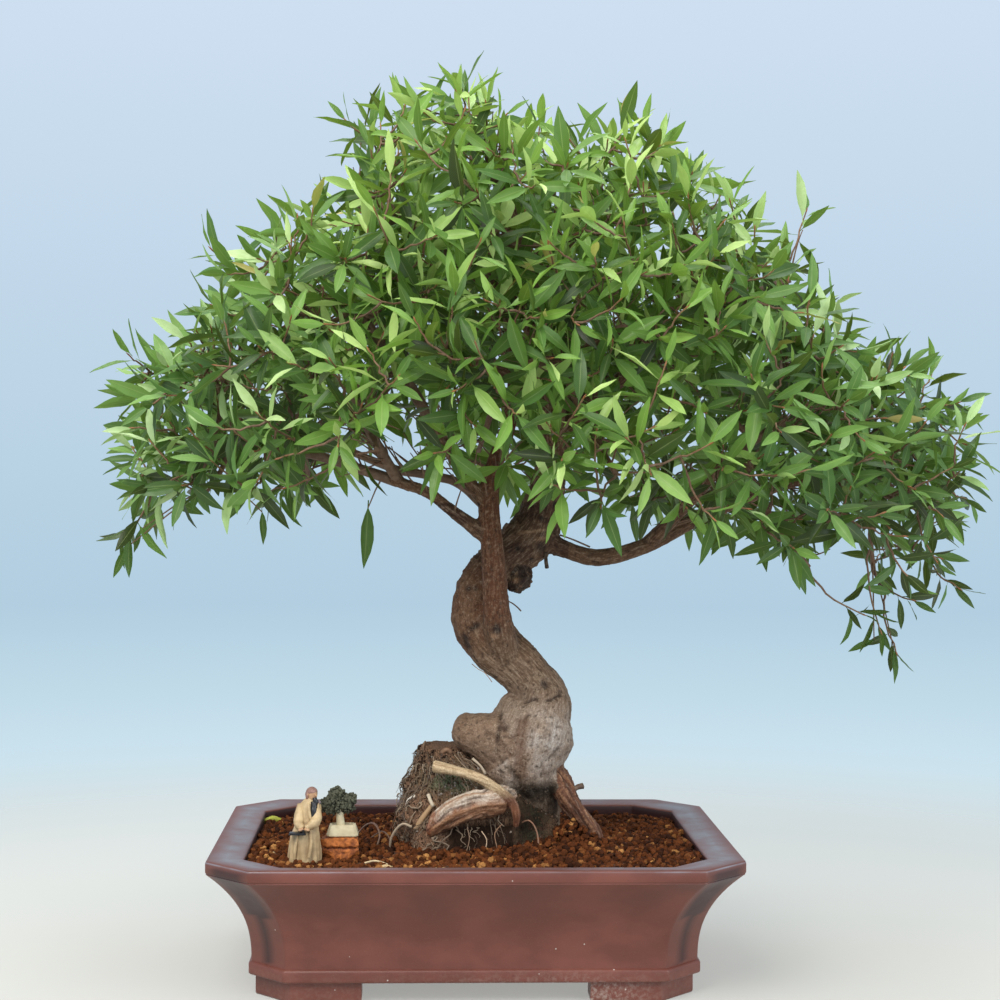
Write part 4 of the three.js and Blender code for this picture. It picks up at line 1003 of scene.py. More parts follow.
def make_root_mat(look):
    """The mat: rings up the root ball and over its top, roughened."""
    sides = 150
    angle, z = np.meshgrid(turns(sides), np.linspace(100, BALL_TOP, 62))
    points = np.stack([*ball_surface(angle, z), z], -1).reshape(-1, 3)
    last = points[-sides:]
    top = last.mean(0) + [0, 0, 2]
    points = np.vstack([points, *[top + (last - top) * share for share in np.linspace(1, 0.12, 8)[1:]]])
    points += off_ball(points, wobble(points, 11, 3, 4) * 3.2 + wobble(points, 3.2, 8, 3) * 1.3)
    points[:, 2] = np.minimum(points[:, 2], BALL_TOP)
    x, y, z = points.T
    moss = near(x, -22, 26) * near(z, 194, 13) + 0.7 * near(x, 58, 16) * near(z, 152, 26)
    # painted shade: the hollow low on the front, and the right side, where dark moss lies in shade
    hollow = ramp(z, 160, 152) * ramp(x, -34, -24) * ramp(x, 46, 36)
    right = 0.9 * near(x, 56, 26, 4) * near(z, 158, 30, 4)
    layers = {"moss": 1.3 * moss * (y < 0), "hollow": np.maximum(hollow * (y < -30), right * (y < -10))}
    rows = len(points) // sides
    faces = tube_faces(rows, sides).tolist() + [list(range((rows - 1) * sides, rows * sides))]
    mesh = new_mesh("root_mat", points, faces, True, layers)
    new_piece("root_mat", mesh, [look], ["root_ball"])


def make_ball_crumbs(rng, look):
    """Crumbs of old soil and bark that cling to the mat, few where the mat has painted shade."""
    angle, high = rng.uniform(0, 2 * math.pi, CRUMBS), 112 + 108 * rng.random(CRUMBS) ** 0.8
    x, y = ball_surface(angle, high, rng.uniform(-0.5, 1.6, CRUMBS))
    sites = np.column_stack([x, y, high])
    sites += off_ball(sites, wobble(sites, 11, 3, 4) * 3.2)
    x, y, z = sites.T
    dark = (((z < 160) & (np.abs(x - 4) < 40)) | (np.abs(x - 56) < 26)) & (y < -20)
    sites = sites[~dark | (rng.random(CRUMBS) < 0.3)]
    shape, faces = octahedron()
    sizes = rng.uniform(0.5, 1.7, len(sites))
    points, triangles = scatter(rng, sites, sizes, shape, faces)
    x, y, z = sites.T
    pale = (np.abs(x + 15) < 26) & (np.abs(z - 192) < 13) & (rng.random(len(sites)) < 0.6)
    shade = np.repeat(np.clip(rng.beta(1.5, 3.0, len(sites)) + 0.42 * pale, 0, 1), len(shape))
    mesh = new_mesh("root_ball_crumbs", points, triangles.tolist(), False, {"shade": shade})
    new_piece("root_ball_crumbs", mesh, [look])


def make_fine_roots(rng, look):
    """Long roots that wander down the mat, short broken ones, some standing off it, and scraps."""
    heap = Heap()
    t = np.linspace(0, 1, 10)
    for number in range(FINE_ROOTS):
        start = rng.uniform(0, 2 * math.pi)
        high = rng.uniform(128, 218)
        drop = rng.uniform(20, 70) if number < LONG_ROOTS else rng.uniform(4, 18)
        wander = np.cumsum(rng.normal(0, 0.03, 10)) + rng.uniform(-0.35, 0.35) * t * min(drop / 30, 1)
        height = mix(high, max(116, high - drop), t) + np.cumsum(rng.normal(0, 0.9, 10))
        grow = rng.uniform(0.4, 2.4) + (rng.uniform(0, 5) * t if number % 3 == 0 else 0)
        x, y = ball_surface(start + wander, height, grow)
        line = np.column_stack([x, y, height])
        line += off_ball(line, wobble(line, 9, 4) * 2.5 + 0.6)
        mossy = (np.abs(line[:, 0] - 56) < 27).mean() > 0.4 and line[:, 1].mean() < 0
        shaded = np.abs(line[:, 0] - 5).mean() < 34 and height.mean() < 156 and line[:, 1].mean() < -30
        if mossy or (shaded and number % 4):
            continue
        thick = rng.choice([0.3, 0.45, 0.7, 1.1], p=[0.5, 0.3, 0.15, 0.05])
        shape, quads = tube(line, thick * np.linspace(1, 0.5, 10), 4)
        heap.add(shape, quads, tint=mix(rgb(60, 40, 27), rgb(190, 166, 138), rng.beta(1.3, 3.0)))
    add_scraps(heap, ROOT_SCRAPS, 7, 2.0, 0.12)
    heap.piece("fine_roots", [look], "old_soil")


# Trunk

# The bark's voxel size, and the least radius of limbs that are part of the bark's skin
BARK_VOXEL, BARK_LEAST = 1.95, 5.4
# Middle and reach of the trunk's pale bulge, and of its brown upper loop
BULGE, LOOP = ([52, -10, 222], [62, 60, 52]), ([0, 0, 362], [34, 40, 50])
# Marks on the bark: where each shows in the photograph, its size, depth, colour and strength
MARKS = [
    ([(496, 632)], 5.0, 2.4, (46, 30, 22), 1.0),
    ([(465, 647), (464, 640)], 5.0, 1.6, (52, 35, 26), 0.9),
    ([(470, 631), (476, 625), (481, 619)], 2.4, 1.8, (46, 31, 23), 0.9),
    ([(476, 633)], 3.0, -1.2, (152, 124, 100), 0.7),
    ([(492, 638)], 3.0, 0.0, (156, 124, 98), 0.8),
    ([(467, 588)], 3.0, 0.8, (48, 32, 24), 0.9),
    ([(474, 588)], 2.6, 0.6, (52, 35, 26), 0.8),
    ([(515, 578)], 3.0, -0.6, (156, 120, 88), 0.8),
    ([(543, 547)], 6.0, 1.6, (50, 33, 24), 0.9),
    ([(537, 538), (548, 538)], 1.8, -0.5, (142, 112, 86), 0.8),
    ([(546, 683)], 4.4, 2.0, (54, 38, 29), 0.9),
    ([(524, 700), (534, 697), (543, 701), (552, 699), (563, 693)], 1.6, 3.2, (58, 41, 31), 0.85),
    ([(540, 700)], 3.4, -1.2, (164, 142, 122), 0.6),
    ([(522, 722), (520, 740), (522, 758), (521, 777)], 6.4, 1.8, (104, 74, 54), 0.72),
    ([(505, 727)], 4.2, 1.8, (68, 48, 36), 0.9),
    ([(483, 729), (499, 741), (509, 758)], 2.0, 1.4, (96, 70, 52), 0.6),
    ([(500, 712), (499, 728), (496, 744)], 2.0, 2.4, (62, 44, 32), 0.85),
    ([(517, 532), (531, 531), (545, 530)], 1.5, -0.7, (166, 136, 108), 0.8),
    ([(556, 504)], 3.4, 1.6, (40, 26, 19), 0.9),
    ([(567, 486)], 3.0, 1.4, (40, 26, 19), 0.9),
    ([(543, 517)], 2.6, 1.2, (44, 29, 21), 0.9),
    ([(520, 548)], 2.6, 1.8, (36, 24, 18), 0.95),
    ([(533, 560)], 2.2, 1.6, (36, 24, 18), 0.95),
    ([(560, 690), (572, 706), (578, 724)], 1.6, 1.4, (92, 70, 54), 0.6),
    ([(508, 770), (520, 784), (528, 800)], 3.0, 1.6, (60, 44, 30), 0.7),
]


def bark_share(limb):
    """The share of a limb's length over which it is thick enough to be part of the bark's skin."""
    thick = [i for i, station in enumerate(limb) if station[3] >= BARK_LEAST]
    return min(1.0, (max(thick) + 0.15) / (len(limb) - 1)) if thick else 0.2


def bark_limbs():
    """The limbs in the bark's skin by name: stations, ripple, its steps and the share of the length."""
    limbs = {"trunk": (TRUNK, 0.045, 20, 1.0), "lobe": (LOBE, 0.04, 5, 1.0), "burl": (BURL, 0.08, 3, 1.0)}
    limbs["leader"] = LEADER, 0.02, 7, bark_share(LEADER)
    limbs["stem"] = FRONT_STEM, 0.02, 9, bark_share(FRONT_STEM)
    for key, root in ROOTS.items():
        limbs["root_" + key] = root, 0.17 if key == "right" else 0.05, len(root), 1.0
    for i, bough in enumerate(BOUGHS):
        limbs[f"bough_{i}"] = bough, 0.0, 6, bark_share(bough)
    return limbs


def voxel_union(heap):
    """Points, normals and faces of one smooth skin round all the shapes of a heap."""
    source = add_object("union", heap.mesh("union"))
    remesh = source.modifiers.new("remesh", "REMESH")
    remesh.mode = "VOXEL"
    remesh.voxel_size = BARK_VOXEL / 1000
    source.modifiers.new("smooth", "SMOOTH").iterations = 4
    skin = source.evaluated_get(bpy.context.evaluated_depsgraph_get())
    made = skin.to_mesh()
    points, normals = from_frame(made.vertices), np.array([v.normal for v in made.vertices])
    faces = [list(p.vertices) for p in made.polygons]
    skin.to_mesh_clear()
    bpy.data.objects.remove(source)
    return points, normals, faces


def lay_grain(points, lines):
    """The number of the limb that each point lies on, and its place round and along that limb."""
    nearest = np.full(len(points), np.inf)
    owner = np.zeros(len(points), int)
    grain = np.zeros((len(points), 3))
    for number, (line, radius) in enumerate(lines):
        first, second = frames_along(line)
        ratio = np.concatenate([
            np.linalg.norm(chunk[:, None] - line[None], axis=2) / radius[None]
            for chunk in np.array_split(points, 24)
        ])
        i = ratio.argmin(1)
        best = ratio[np.arange(len(points)), i]
        closer = best < nearest
        nearest, owner = np.where(closer, best, nearest), np.where(closer, number, owner)
        away = points - line[i]
        run = np.concatenate([[0], np.cumsum(np.linalg.norm(np.diff(line, axis=0), axis=1))])
        angle = np.arctan2((away * second[i]).sum(1), (away * first[i]).sum(1))
        apart = 57 * number  # so that no two limbs share their grain
        placed = np.column_stack([radius[i] * np.cos(angle), radius[i] * np.sin(angle), run[i] + apart])
        grain[closer] = placed[closer]
    return owner, grain


def round_about(points, middle, reach):
    """1 inside an ellipsoid and 0 outside it, fading at its surface."""
    return near(np.linalg.norm((points - middle) / reach, axis=1), 0, 1, 4)


def on_front(points, seen, line):
    """The points of the bark that show nearest to the camera at places in the photograph."""
    found = []
    for place in line:
        away = np.linalg.norm(seen - place, axis=1)
        near = np.flatnonzero(away < max(2.2, away.min() + 0.5))
        found.append(points[near[(points[near] @ AHEAD).argmin()]])
    return found


def gap_to(points, line):
    """Distance of each point from a line of points."""
    line = np.array(line, float)
    if len(line) > 1:
        t = np.linspace(0, len(line) - 1, 8 * len(line))
        line = np.column_stack([np.interp(t, range(len(line)), line[:, i]) for i in range(3)])
    return np.min([np.linalg.norm(points - p, axis=1) for p in line], axis=0)


def make_trunk(look):
    """Trunk, bulge, roots and the thick parts of the branches, as one skin of bark."""
    heap, lines, limbs = Heap(), [], bark_limbs()
    for stations, ripple, steps, share in limbs.values():
        sides = 20 if max(station[3] for station in stations) > 14 else 12
        add_limb(heap, stations, sides, 4.0, ripple, steps, 0.0, share)
        lines.append(curve_at(stations, np.linspace(0, share, max(4, int(length_of(stations) * share / 4)))))
    points, normals, faces = voxel_union(heap)
    owner, grain = lay_grain(points, lines)
    names = np.array(list(limbs))[owner]
    kinds = ("stem", "root_", "root_fat", "root_cut", "lobe", "burl")
    on = {kind: np.char.startswith(names, kind) for kind in kinds}
    bulge = round_about(points, *BULGE)
    loop = round_about(points, *LOOP) * ~on["stem"]

    # relief: fibres along the limb, rings across it, lumps, pits and specks
    fibre = wobble(grain * [1, 1, 0.12], 3.6, 1, 3)
    rings = wobble(grain * [0.25, 0.25, 1], 4.5, 6, 2)
    lumps, pits, specks = wobble(points, 26, 2, 3), wobble(points, 6.5, 9, 3), wobble(points, 3.4, 14, 2)
    fibrous = 0.85 - 0.6 * np.maximum(bulge, 0.85 * loop) - 0.25 * on["stem"] - 0.3 * on["lobe"]
    fibrous = np.clip(np.where(on["root_"], 0.75, fibrous), 0.15, 1)
    relief = 0.9 * fibre * fibrous + 0.35 * rings * fibrous
    relief += 1.7 * lumps * np.where(on["stem"], 0.3, 1) + 0.7 * pits * (0.6 + 0.6 * bulge)
    rooty = on["root_"] & ~on["root_cut"]
    relief += rooty * (0.9 * np.sin(np.arctan2(grain[:, 1], grain[:, 0]) * 8 + 2 * pits) + 1.5 * fibre)
    relief += 0.55 * specks * (0.5 + 0.5 * bulge + 0.4 * loop) - 1.1 * np.clip(-specks - 0.28, 0, 1)
    relief += (1.8 * pits + 1.0 * specks) * on["burl"]
    knotty = ramp(points[:, 2], 380, 400) * (points[:, 0] < 96) * ~on["stem"]
    relief += 2.2 * np.clip(pits - 0.12, 0, 1) * knotty
    thin = np.clip(np.linalg.norm(grain[:, :2], axis=1) / 16, 0.25, 1)
    shift = normals * (relief * thin)[:, None]

    tint = bark_paint(points, on, bulge, loop, lumps, pits, specks, fibre)
    seen = project(points)
    for line, size, depth, colour, strength in MARKS:
        gap = gap_to(points, on_front(points, seen, line)) / size
        share = np.exp(-(gap**2))
        shift -= normals * (depth * share)[:, None]
        if len(line) == 1 and depth > 1:
            # the raised rim of a knot
            shift += normals * (0.45 * depth * near(gap, 1.7, 0.55))[:, None]
        tint = mix(tint, rgb(*colour), np.clip(1.4 * strength * share, 0, strength)[:, None])
    layers = {"grain": grain, "tint": tint, "fibrous": fibrous}
    mesh = new_mesh("trunk_bark", points + shift, faces, True, layers)
    new_piece("trunk_bark", mesh, [look], ["trunk_and_branches"])


def bark_paint(points, on, bulge, loop, lumps, pits, specks, fibre):
    """The bark's own colour at each point."""
    x, _, z = points.T
    tint = np.tile(rgb(110, 82, 60), (len(points), 1))

    def paint(colour, share):
        nonlocal tint
        tint = mix(tint, rgb(*colour), np.clip(share, 0, 1)[:, None])

    paint((136, 114, 94), ramp(z, 334, 294))
    paint((105, 65, 40), loop)
    paint((101, 62, 37), on["stem"] * ramp(z, 336, 358))
    # painted shade of the canopy: the upper trunk darker from 385 mm up
    paint((68, 41, 26), ramp(z, 385, 425) * (z < 470) * (x < 96) * ~on["stem"] * 0.85)
    paint((126, 98, 74), np.clip(lumps * 1.5, 0, 0.4) * ~on["stem"])
    # the pale bulge, granular, with patches paler still
    paint((159, 139, 122), np.clip(bulge * 1.3, 0, 0.85))
    cloudy = bulge * np.clip(0.6 + 0.9 * wobble(points, 18, 12, 4), 0, 1)
    patches = 1.6 * near(x, 76, 24) * near(z, 236, 36) + 1.2 * near(x, 34, 13) * near(z, 206, 20)
    paint((194, 185, 177), np.clip(cloudy * patches, 0, 0.95))
    paint((134, 106, 84), on["lobe"] * 0.7)
    paint((92, 70, 54), np.clip(-pits * 2.2 - 0.3, 0, 0.75) * bulge)
    # dark in the small pits, pale on the small bosses
    paint((54, 37, 27), np.clip(-2.4 * specks - 0.75, 0, 0.7))
    paint((164, 140, 118), np.clip(2.0 * specks - 0.6, 0, 0.35) * ~on["burl"])
    # the foot of the bulge painted dark: painted shade under the bulge, and dark moss
    paint((44, 34, 21), ramp(z, 196, 184) * np.clip(bulge * 2, 0, 1))
    paint((50, 33, 24), on["burl"] * 0.88)
    paint((142, 112, 88), on["burl"] * np.clip(3 * specks - 0.8, 0, 0.8))
    # roots; the fat root is pale along its upper edge, partly pale bark and partly a painted highlight, dark
    # under it as painted shade, and reddish at its end
    paint((110, 70, 50), on["root_"] * 0.95)
    paint((142, 97, 69), on["root_fat"])
    ridge = z - np.interp(x, [-46, -34, -20, 0, 18, 28, 34], [147, 158, 169, 175, 176, 176, 174])
    paint((222, 208, 192), on["root_fat"] * ramp(ridge + 4 * pits, 1, 9) * 0.95)
    paint((78, 52, 38), on["root_fat"] * np.clip((-ridge - 7 + 3 * pits) / 5, 0, 0.7))
    paint((158, 88, 48), on["root_fat"] * np.clip((-34 - x) / 8 + pits, 0, 1) * 0.8)
    rough = on["root_"] & ~on["root_cut"]
    paint((176, 132, 98), rough * np.clip(2.6 * fibre - 0.35, 0, 0.75))
    paint((66, 38, 26), rough * np.clip(-2.6 * fibre - 0.35, 0, 0.75))
    paint((208, 184, 148), on["root_cut"] * ramp(z, 180, 192))
    paint((132, 84, 58), on["root_cut"] * ramp(z, 180, 170))
    return tint


# Branches

# Tries at bare twigs; those that would stick out of the canopy are left out
BARE_TWIGS = 620
# Thin strands: points of each as seen in the photograph and their depth, its radius and colour
STRANDS = [
    ([(503, 600, -24), (510, 602, -22), (516, 606, -16), (521, 611, -12)], 0.7, (96, 68, 50)),
    ([(472, 664, -14), (478, 669, -24), (485, 673, -30), (492, 682, -26)], 0.4, (156, 124, 98)),
    ([(503, 533, -6), (504, 528, -12), (507, 524, -18)], 1.6, (70, 50, 38)),
    ([(560, 535, 10), (574, 540, 4), (590, 547, 0)], 0.9, (96, 70, 52)),
    ([(546, 553, 8), (546, 560, 4), (547, 568, 0)], 2.0, (56, 38, 28)),
    ([(573, 790, -24), (578, 787, -22), (583, 786, -20)], 2.9, (84, 62, 48)),
]


def make_branches(look):
    """The thinner boughs, the twigs that carry the sprays and the bare twigs inside the canopy."""
    heap = Heap()
    brown, reddish = rgb(92, 68, 50), rgb(108, 76, 55)
    for limb in UPPER_LIMBS:
        t0 = max(0.0, bark_share(limb) - 0.03)
        if t0 < 0.97:
            add_limb(heap, limb, 10, 5.0, 0.05, 30, t0, tint=brown)
    for twig in CARRIERS:
        add_limb(heap, twig, 8, 6.0, 0.06, tint=mix(brown, reddish, 0.5))
    strands = [([unproject(*point) for point in line], radius, colour) for line, radius, colour in STRANDS]
    add_scraps(heap, strands, 7, 1.5, 0.1)
    rng = np.random.default_rng(17)
    for _ in range(BARE_TWIGS):
        start = WOOD_AT[rng.integers(len(WOOD_AT))]
        length = rng.uniform(28, 66)
        end = start + length * unit(outward(start) + 0.25 * UP + rng.normal(0, 0.55, 3))
        depth, low, _ = canopy_shape(end[0])
        if end[2] < low + 16 or abs(end[1]) > depth - 30 or room_in_outline(end[None])[0] < 12:
            continue
        hold = mix(start, end, 0.5) + rng.normal(0, 0.1 * length, 3)
        line = bow(start, hold, end, np.linspace(0, 1, 7)[:, None])
        heap.add(*tube(line, np.linspace(1.1, 0.5, 7), 5), tint=mix(brown, reddish, rng.random()))
    heap.piece("branches", [look], "bark")


# Foliage

# A leaf's rows of points along its length, its width at them, and its points across
LEAF_ROWS = np.array([-0.13, 0.01, 0.13, 0.31, 0.52, 0.72, 0.89, 1.0])
LEAF_WIDTHS = np.array([0.09, 0.1, 0.56, 0.94, 1.0, 0.75, 0.34, 0.02])
LEAF_COLUMNS = np.array([-1.0, -0.5, 0.0, 0.5, 1.0])
# Colours of leaves from the darkest to the lightest, and the tones that they stand for
LEAF_COLOURS = [(10, 26, 9), (62, 99, 38), (118, 157, 68), (182, 207, 126)]
LEAF_TONES = [0.0, 0.4, 0.75, 1.0]
# The most shoots, and how far apart their tips are at least
SHOOTS, SHOOT_PITCH = 900, 35.0
# Lengths of a shoot's first and last leaf, their angles from its stem, and the least and most width
LEAF_LENGTHS, LEAF_ANGLES, LEAF_SLIMNESS = (50, 37), (92, 20), (0.225, 0.28)
GOLDEN_ANGLE = 2.39996
# Shoots at the canopy's outermost tips, as seen in the photograph, and their depth
TIP_SHOOTS = [
    (460, 84, 0), (347, 122, -30), (640, 122, 10), (486, 104, -40), (806, 212, 30), (212, 250, -20),
    (116, 400, 20), (880, 630, -40), (862, 614, -60), (912, 600, -10), (124, 536, -20), (968, 500, 10),
    (958, 588, 20), (896, 652, -20), (130, 356, 0), (400, 104, 30),
]
# Single leaves: stalk and tip as seen in the photograph, and their depth
LONE_LEAVES = [
    ((368, 508), (365, 569), -58), ((126, 548), (113, 578), -20), ((894, 650), (896, 684), -20),
    ((874, 640), (848, 651), -30), ((140, 530), (134, 553), -10), ((262, 512), (264, 545), -40),
]


def leaves(base, direction, face, length, width, sag, fold, twist, phase):
    """Points of many leaves at once: a long narrow blade on a short stalk, folded at its midrib."""
    count = len(base)
    base, direction, face = (each[:, None, None] for each in (base, direction, face))
    length, width, sag, fold, twist, phase = (
        np.reshape(each, (-1, 1, 1)) for each in (length, width, sag, fold, twist, phase)
    )
    t, v = LEAF_ROWS[None, :, None], LEAF_COLUMNS[None, None, :]
    half = 0.5 * width * LEAF_WIDTHS[None, :, None]
    across = np.cross(direction, face)
    cos, sin = np.cos(twist * t)[..., None], np.sin(twist * t)[..., None]
    side, up = across * cos + face * sin, face * cos - across * sin
    lift = half * np.abs(v) ** 1.3 * fold
    lift = lift + 0.05 * width * np.sin(11 * t + phase) * np.abs(v) * (t > 0.05)
    bend = sag * length * np.maximum(t, 0) ** 2
    run = length * t * (1 - 0.35 * sag**2)
    points = base + direction * run[..., None] - face * bend[..., None]
    points = points + side * (half * v)[..., None] + up * lift[..., None]
    return points.reshape(count, -1, 3)


def leaf_faces():
    """Quads between a leaf's rows and columns of points."""
    rows, columns = len(LEAF_ROWS), len(LEAF_COLUMNS)
    r, c = np.meshgrid(np.arange(rows - 1), np.arange(columns - 1), indexing="ij")
    a = (r * columns + c).ravel()
    return np.stack([a, a + columns, a + columns + 1, a + 1], 1)


def leaf_tints(tone):
    """Leaf colours for tones from 0 to 1."""
    stops = np.array([rgb(*colour) for colour in LEAF_COLOURS])
    return np.column_stack([np.interp(tone, LEAF_TONES, stops[:, i]) for i in range(3)])


def add_leaves(heap, shape, tint):
    """Leaves on a heap, moved as one where they would leave the CAD's box.

    The layer blade says how far across and down its leaf each point lies.
    """
    per_leaf = len(LEAF_ROWS) * len(LEAF_COLUMNS)
    count = len(shape)
    over = np.maximum(shape.reshape(-1, 3).max(0) - BOX_HIGH + 0.5, 0)
    under = np.maximum(BOX_LOW + 0.5 - shape.reshape(-1, 3).min(0), 0)
    v, t = np.meshgrid(LEAF_COLUMNS, LEAF_ROWS)
    blade = np.tile(np.stack([v.ravel(), t.ravel(), np.zeros(per_leaf)], 1), (count, 1))
    index = (leaf_faces()[None] + (np.arange(count) * per_leaf)[:, None, None]).reshape(-1, 4)
    shape = (shape + (under - over)).reshape(-1, 3)
    heap.add(shape, index, 0, tint=np.repeat(tint, per_leaf, 0), blade=blade)


def project(points):
    """Where points show in the photograph, in thousandths of its side from its top left."""
    away = np.asarray(points, float) - CAMERA_AT
    deep = away @ AHEAD
    across, up = CAMERA_FOCAL * (away @ RIGHT) / deep, CAMERA_FOCAL * (away @ TOP) / deep
    return np.stack([500 + across, 500 - up], -1)


def unproject(u, v, y):
    """The point at depth y that shows at u, v in the photograph."""
    ray = AHEAD + RIGHT * (u - 500) / CAMERA_FOCAL + TOP * (500 - v) / CAMERA_FOCAL
    return CAMERA_AT + ray * (y - CAMERA_AT[1]) / ray[1]


def room_in_outline(points):
    """How far inside the canopy's outline points show, negative outside it."""
    p = project(points)
    a = np.array(OUTLINE, float)
    b = np.roll(a, -1, 0)
    edge = b - a
    share = ((p[:, None] - a) * edge).sum(2) / (edge**2).sum(1)
    gap = np.linalg.norm(p[:, None] - a - np.clip(share, 0, 1)[..., None] * edge, axis=2).min(1)
    crossing = (a[:, 1] > p[:, None, 1]) != (b[:, 1] > p[:, None, 1])
    slope = a[:, 0] + (p[:, None, 1] - a[:, 1]) * edge[:, 0] / np.where(edge[:, 1] == 0, 1e-9, edge[:, 1])
    inside = (crossing & (p[:, None, 0] < slope)).sum(1) % 2 == 1
    return np.where(inside, gap, -gap)


def shoot_targets(rng):
    """Tips of leafy shoots, spaced over the canopy and fewer inside it, low down and at its ends."""
    tries, inset = 90000, 30.0
    x = rng.uniform(-372, 528, tries)
    depth, low, top = canopy_shape(x)
    turn = rng.uniform(0, math.pi, tries)
    layer = 1 - 0.52 * rng.random(tries) ** 2.1
    y = -(depth - inset) * np.cos(turn) * layer
    rise = np.maximum(top - inset - low, 24)
    z = low + 14 + (rise - 14) * np.sin(turn) ** CANOPY_FULLNESS * layer
    points = np.column_stack([x, y, z])
    chance = np.interp((z - low) / rise, [0.0, 0.12, 0.4], [0.16, 0.34, 1.0])
    chance *= np.where((x > 320) & (z < 440), 0.36, 1.0) * np.where((x < -200) & (z < 430), 0.7, 1.0)
    ok = (room_in_outline(points) > 25) & (rng.random(tries) < chance)
    tips = [unproject(*tip) for tip in TIP_SHOOTS]
    steps = [(dx, dy, dz) for dx in (-1, 0, 1) for dy in (-1, 0, 1) for dz in (-1, 0, 1)]
    kept, cells = [], {}
    for p in [*tips, *points[ok]]:
        i, j, k = (p // SHOOT_PITCH).astype(int)
        close = [q for dx, dy, dz in steps for q in cells.get((i + dx, j + dy, k + dz), ())]
        if len(kept) < len(tips) or all(np.linalg.norm(q - p) > SHOOT_PITCH for q in close):
            cells.setdefault((i, j, k), []).append(p)
            kept.append(p)
            if len(kept) == SHOOTS:
                break
    return np.array(kept)


def grow_twig(rng, heap, start, hold, tip):
    """A shoot's twig and its end bud, on a heap. Returns the points along it."""
    line = bow(start, hold, tip, np.linspace(0, 1, 9)[:, None])
    line[1:-1] += rng.normal(0, 0.8, (7, 3))
    shade = mix(rgb(94, 66, 46), rgb(124, 88, 54), np.linspace(0, 1, 9)[:, None] ** 2)
    heap.add(*tube(line, np.linspace(1.35, 0.75, 9), 5), 1, tint=np.repeat(shade, 5, 0), blade=(0, 0, 0))
    bud = tip + unit(tip - hold) * np.array([0, 2, 4, 6])[:, None]
    heap.add(*tube(bud, [0.75, 0.9, 0.6, 0.1], 5), 1, tint=rgb(150, 92, 52), blade=(0, 0, 0))
    return line


def grow_shoot(rng, heap, wood, tip):
    """A leafy shoot from the nearest wood to its tip, on a heap. Returns points along its twig."""
    low, light = ramp(tip[2], 540, 380), ramp(tip[2], 430, 830)
    tail = ramp(tip[0], 300, 360) * low
    axis = unit(outward(tip) + UP * (0.3 + 0.35 * light) + rng.normal(0, 0.38, 3))
    axis = unit(axis - UP * 0.55 * low)
    far = np.linalg.norm(wood - CROWN_FORK, axis=1) > np.linalg.norm(tip - CROWN_FORK) - 8
    start = wood[(np.linalg.norm(wood - tip, axis=1) + 400 * far).argmin()]
    reach = np.linalg.norm(tip - start)
    hold = mix(start, tip, 0.6) - axis * 0.24 * reach
    line = grow_twig(rng, heap, start, hold, tip)

    # leaves in a spiral, the first ones widest open
    count = int(rng.integers(6, 9) - round(2 * tail))
    j = np.arange(count) / (count - 1)
    back = 1 - np.minimum(28 * (1 - j) ** 0.9 / max(reach, 36), 0.8)[:, None]
    stem = unit(2 * (1 - back) * (hold - start) + 2 * back * (tip - hold))
    spin = rng.uniform(0, 2 * math.pi) + np.arange(count) * GOLDEN_ANGLE + rng.normal(0, 0.3, count)
    side = unit(np.cross(stem, rng.normal(size=3)))
    outer = side * np.cos(spin)[:, None] + np.cross(stem, side) * np.sin(spin)[:, None]
    spread = np.radians(mix(*LEAF_ANGLES, j**1.2) + rng.normal(0, 13, count))[:, None]
    direction = stem * np.cos(spread) + outer * np.sin(spread)
    hang = (0.04 + 0.5 * low + 0.2 * rng.random(count)) * (1 - 0.6 * j)
    direction = unit(direction - UP * hang[:, None])
    face = stem * np.sin(spread) - outer * np.cos(spread)
    face += rng.uniform(0.1, 0.8, (count, 1)) * UP + rng.normal(0, 0.16, (count, 3))
    face = unit(face - direction * (face * direction).sum(1)[:, None])
    length = mix(*LEAF_LENGTHS, j**2.5) * rng.uniform(0.66, 1.1, count) * (1 - 0.22 * tail)
    width = length * rng.uniform(*LEAF_SLIMNESS, count)
    base = bow(start, hold, tip, back) + direction * 0.12 * length[:, None]
    sag, fold = rng.uniform(0.0, 0.24, count), rng.uniform(0.08, 0.55, count)
    twist, phase = rng.normal(0, 0.35, count), rng.uniform(0, 6, count)
    shape = leaves(base, direction, face, length, width, sag, fold, twist, phase)

    # lighter at the shoot's end, and lighter high up, partly as painted light from above; darker low down, at
    # the canopy's ends and on its right, as painted shade, and bluer at its ends and low down
    own = rng.normal(0, 0.12)
    wide = ramp(abs(tip[0] - 40), 160, 280)
    tone = 0.38 + 0.13 * light - 0.1 * low - 0.16 * wide * ramp(tip[2], 530, 460)
    tone = tone - 0.07 * ramp(tip[0], 200, 300) + 0.3 * j**2
    tint = leaf_tints(np.clip(tone + own + rng.normal(0, 0.21, count), 0, 1))
    tint[:, 2] *= 1 + 0.5 * max(wide, low)
    if rng.random() < 0.1 * light:
        tint[-1] = mix(tint[-1], rgb(176, 140, 84), 0.6)
    add_leaves(heap, shape, tint)
    return list(line[2:7:2])


def hang_leaf(heap, stalk, tip, depth):
    """A single leaf on a stalk from the nearest wood, given as seen in the photograph."""
    base, end = unproject(*stalk, depth), unproject(*tip, depth)
    wood = WOOD_AT[np.linalg.norm(WOOD_AT - base, axis=1).argmin()]
    line = np.array([wood, mix(wood, base, 0.5) + 2 * UP, base])
    heap.add(*tube(line, [1.0, 0.8, 0.6], 5), 1, tint=rgb(104, 76, 50), blade=(0, 0, 0))
    length = np.linalg.norm(end - base)
    direction = unit(end - base)
    face = unit(np.cross(direction, np.cross(UP + [0.5, -1.2, 0], direction)))
    shape = leaves(base[None], direction[None], face[None], length, 0.24 * length, 0.06, 0.3, 0.2, 1)
    add_leaves(heap, shape, leaf_tints(np.array([0.3])))


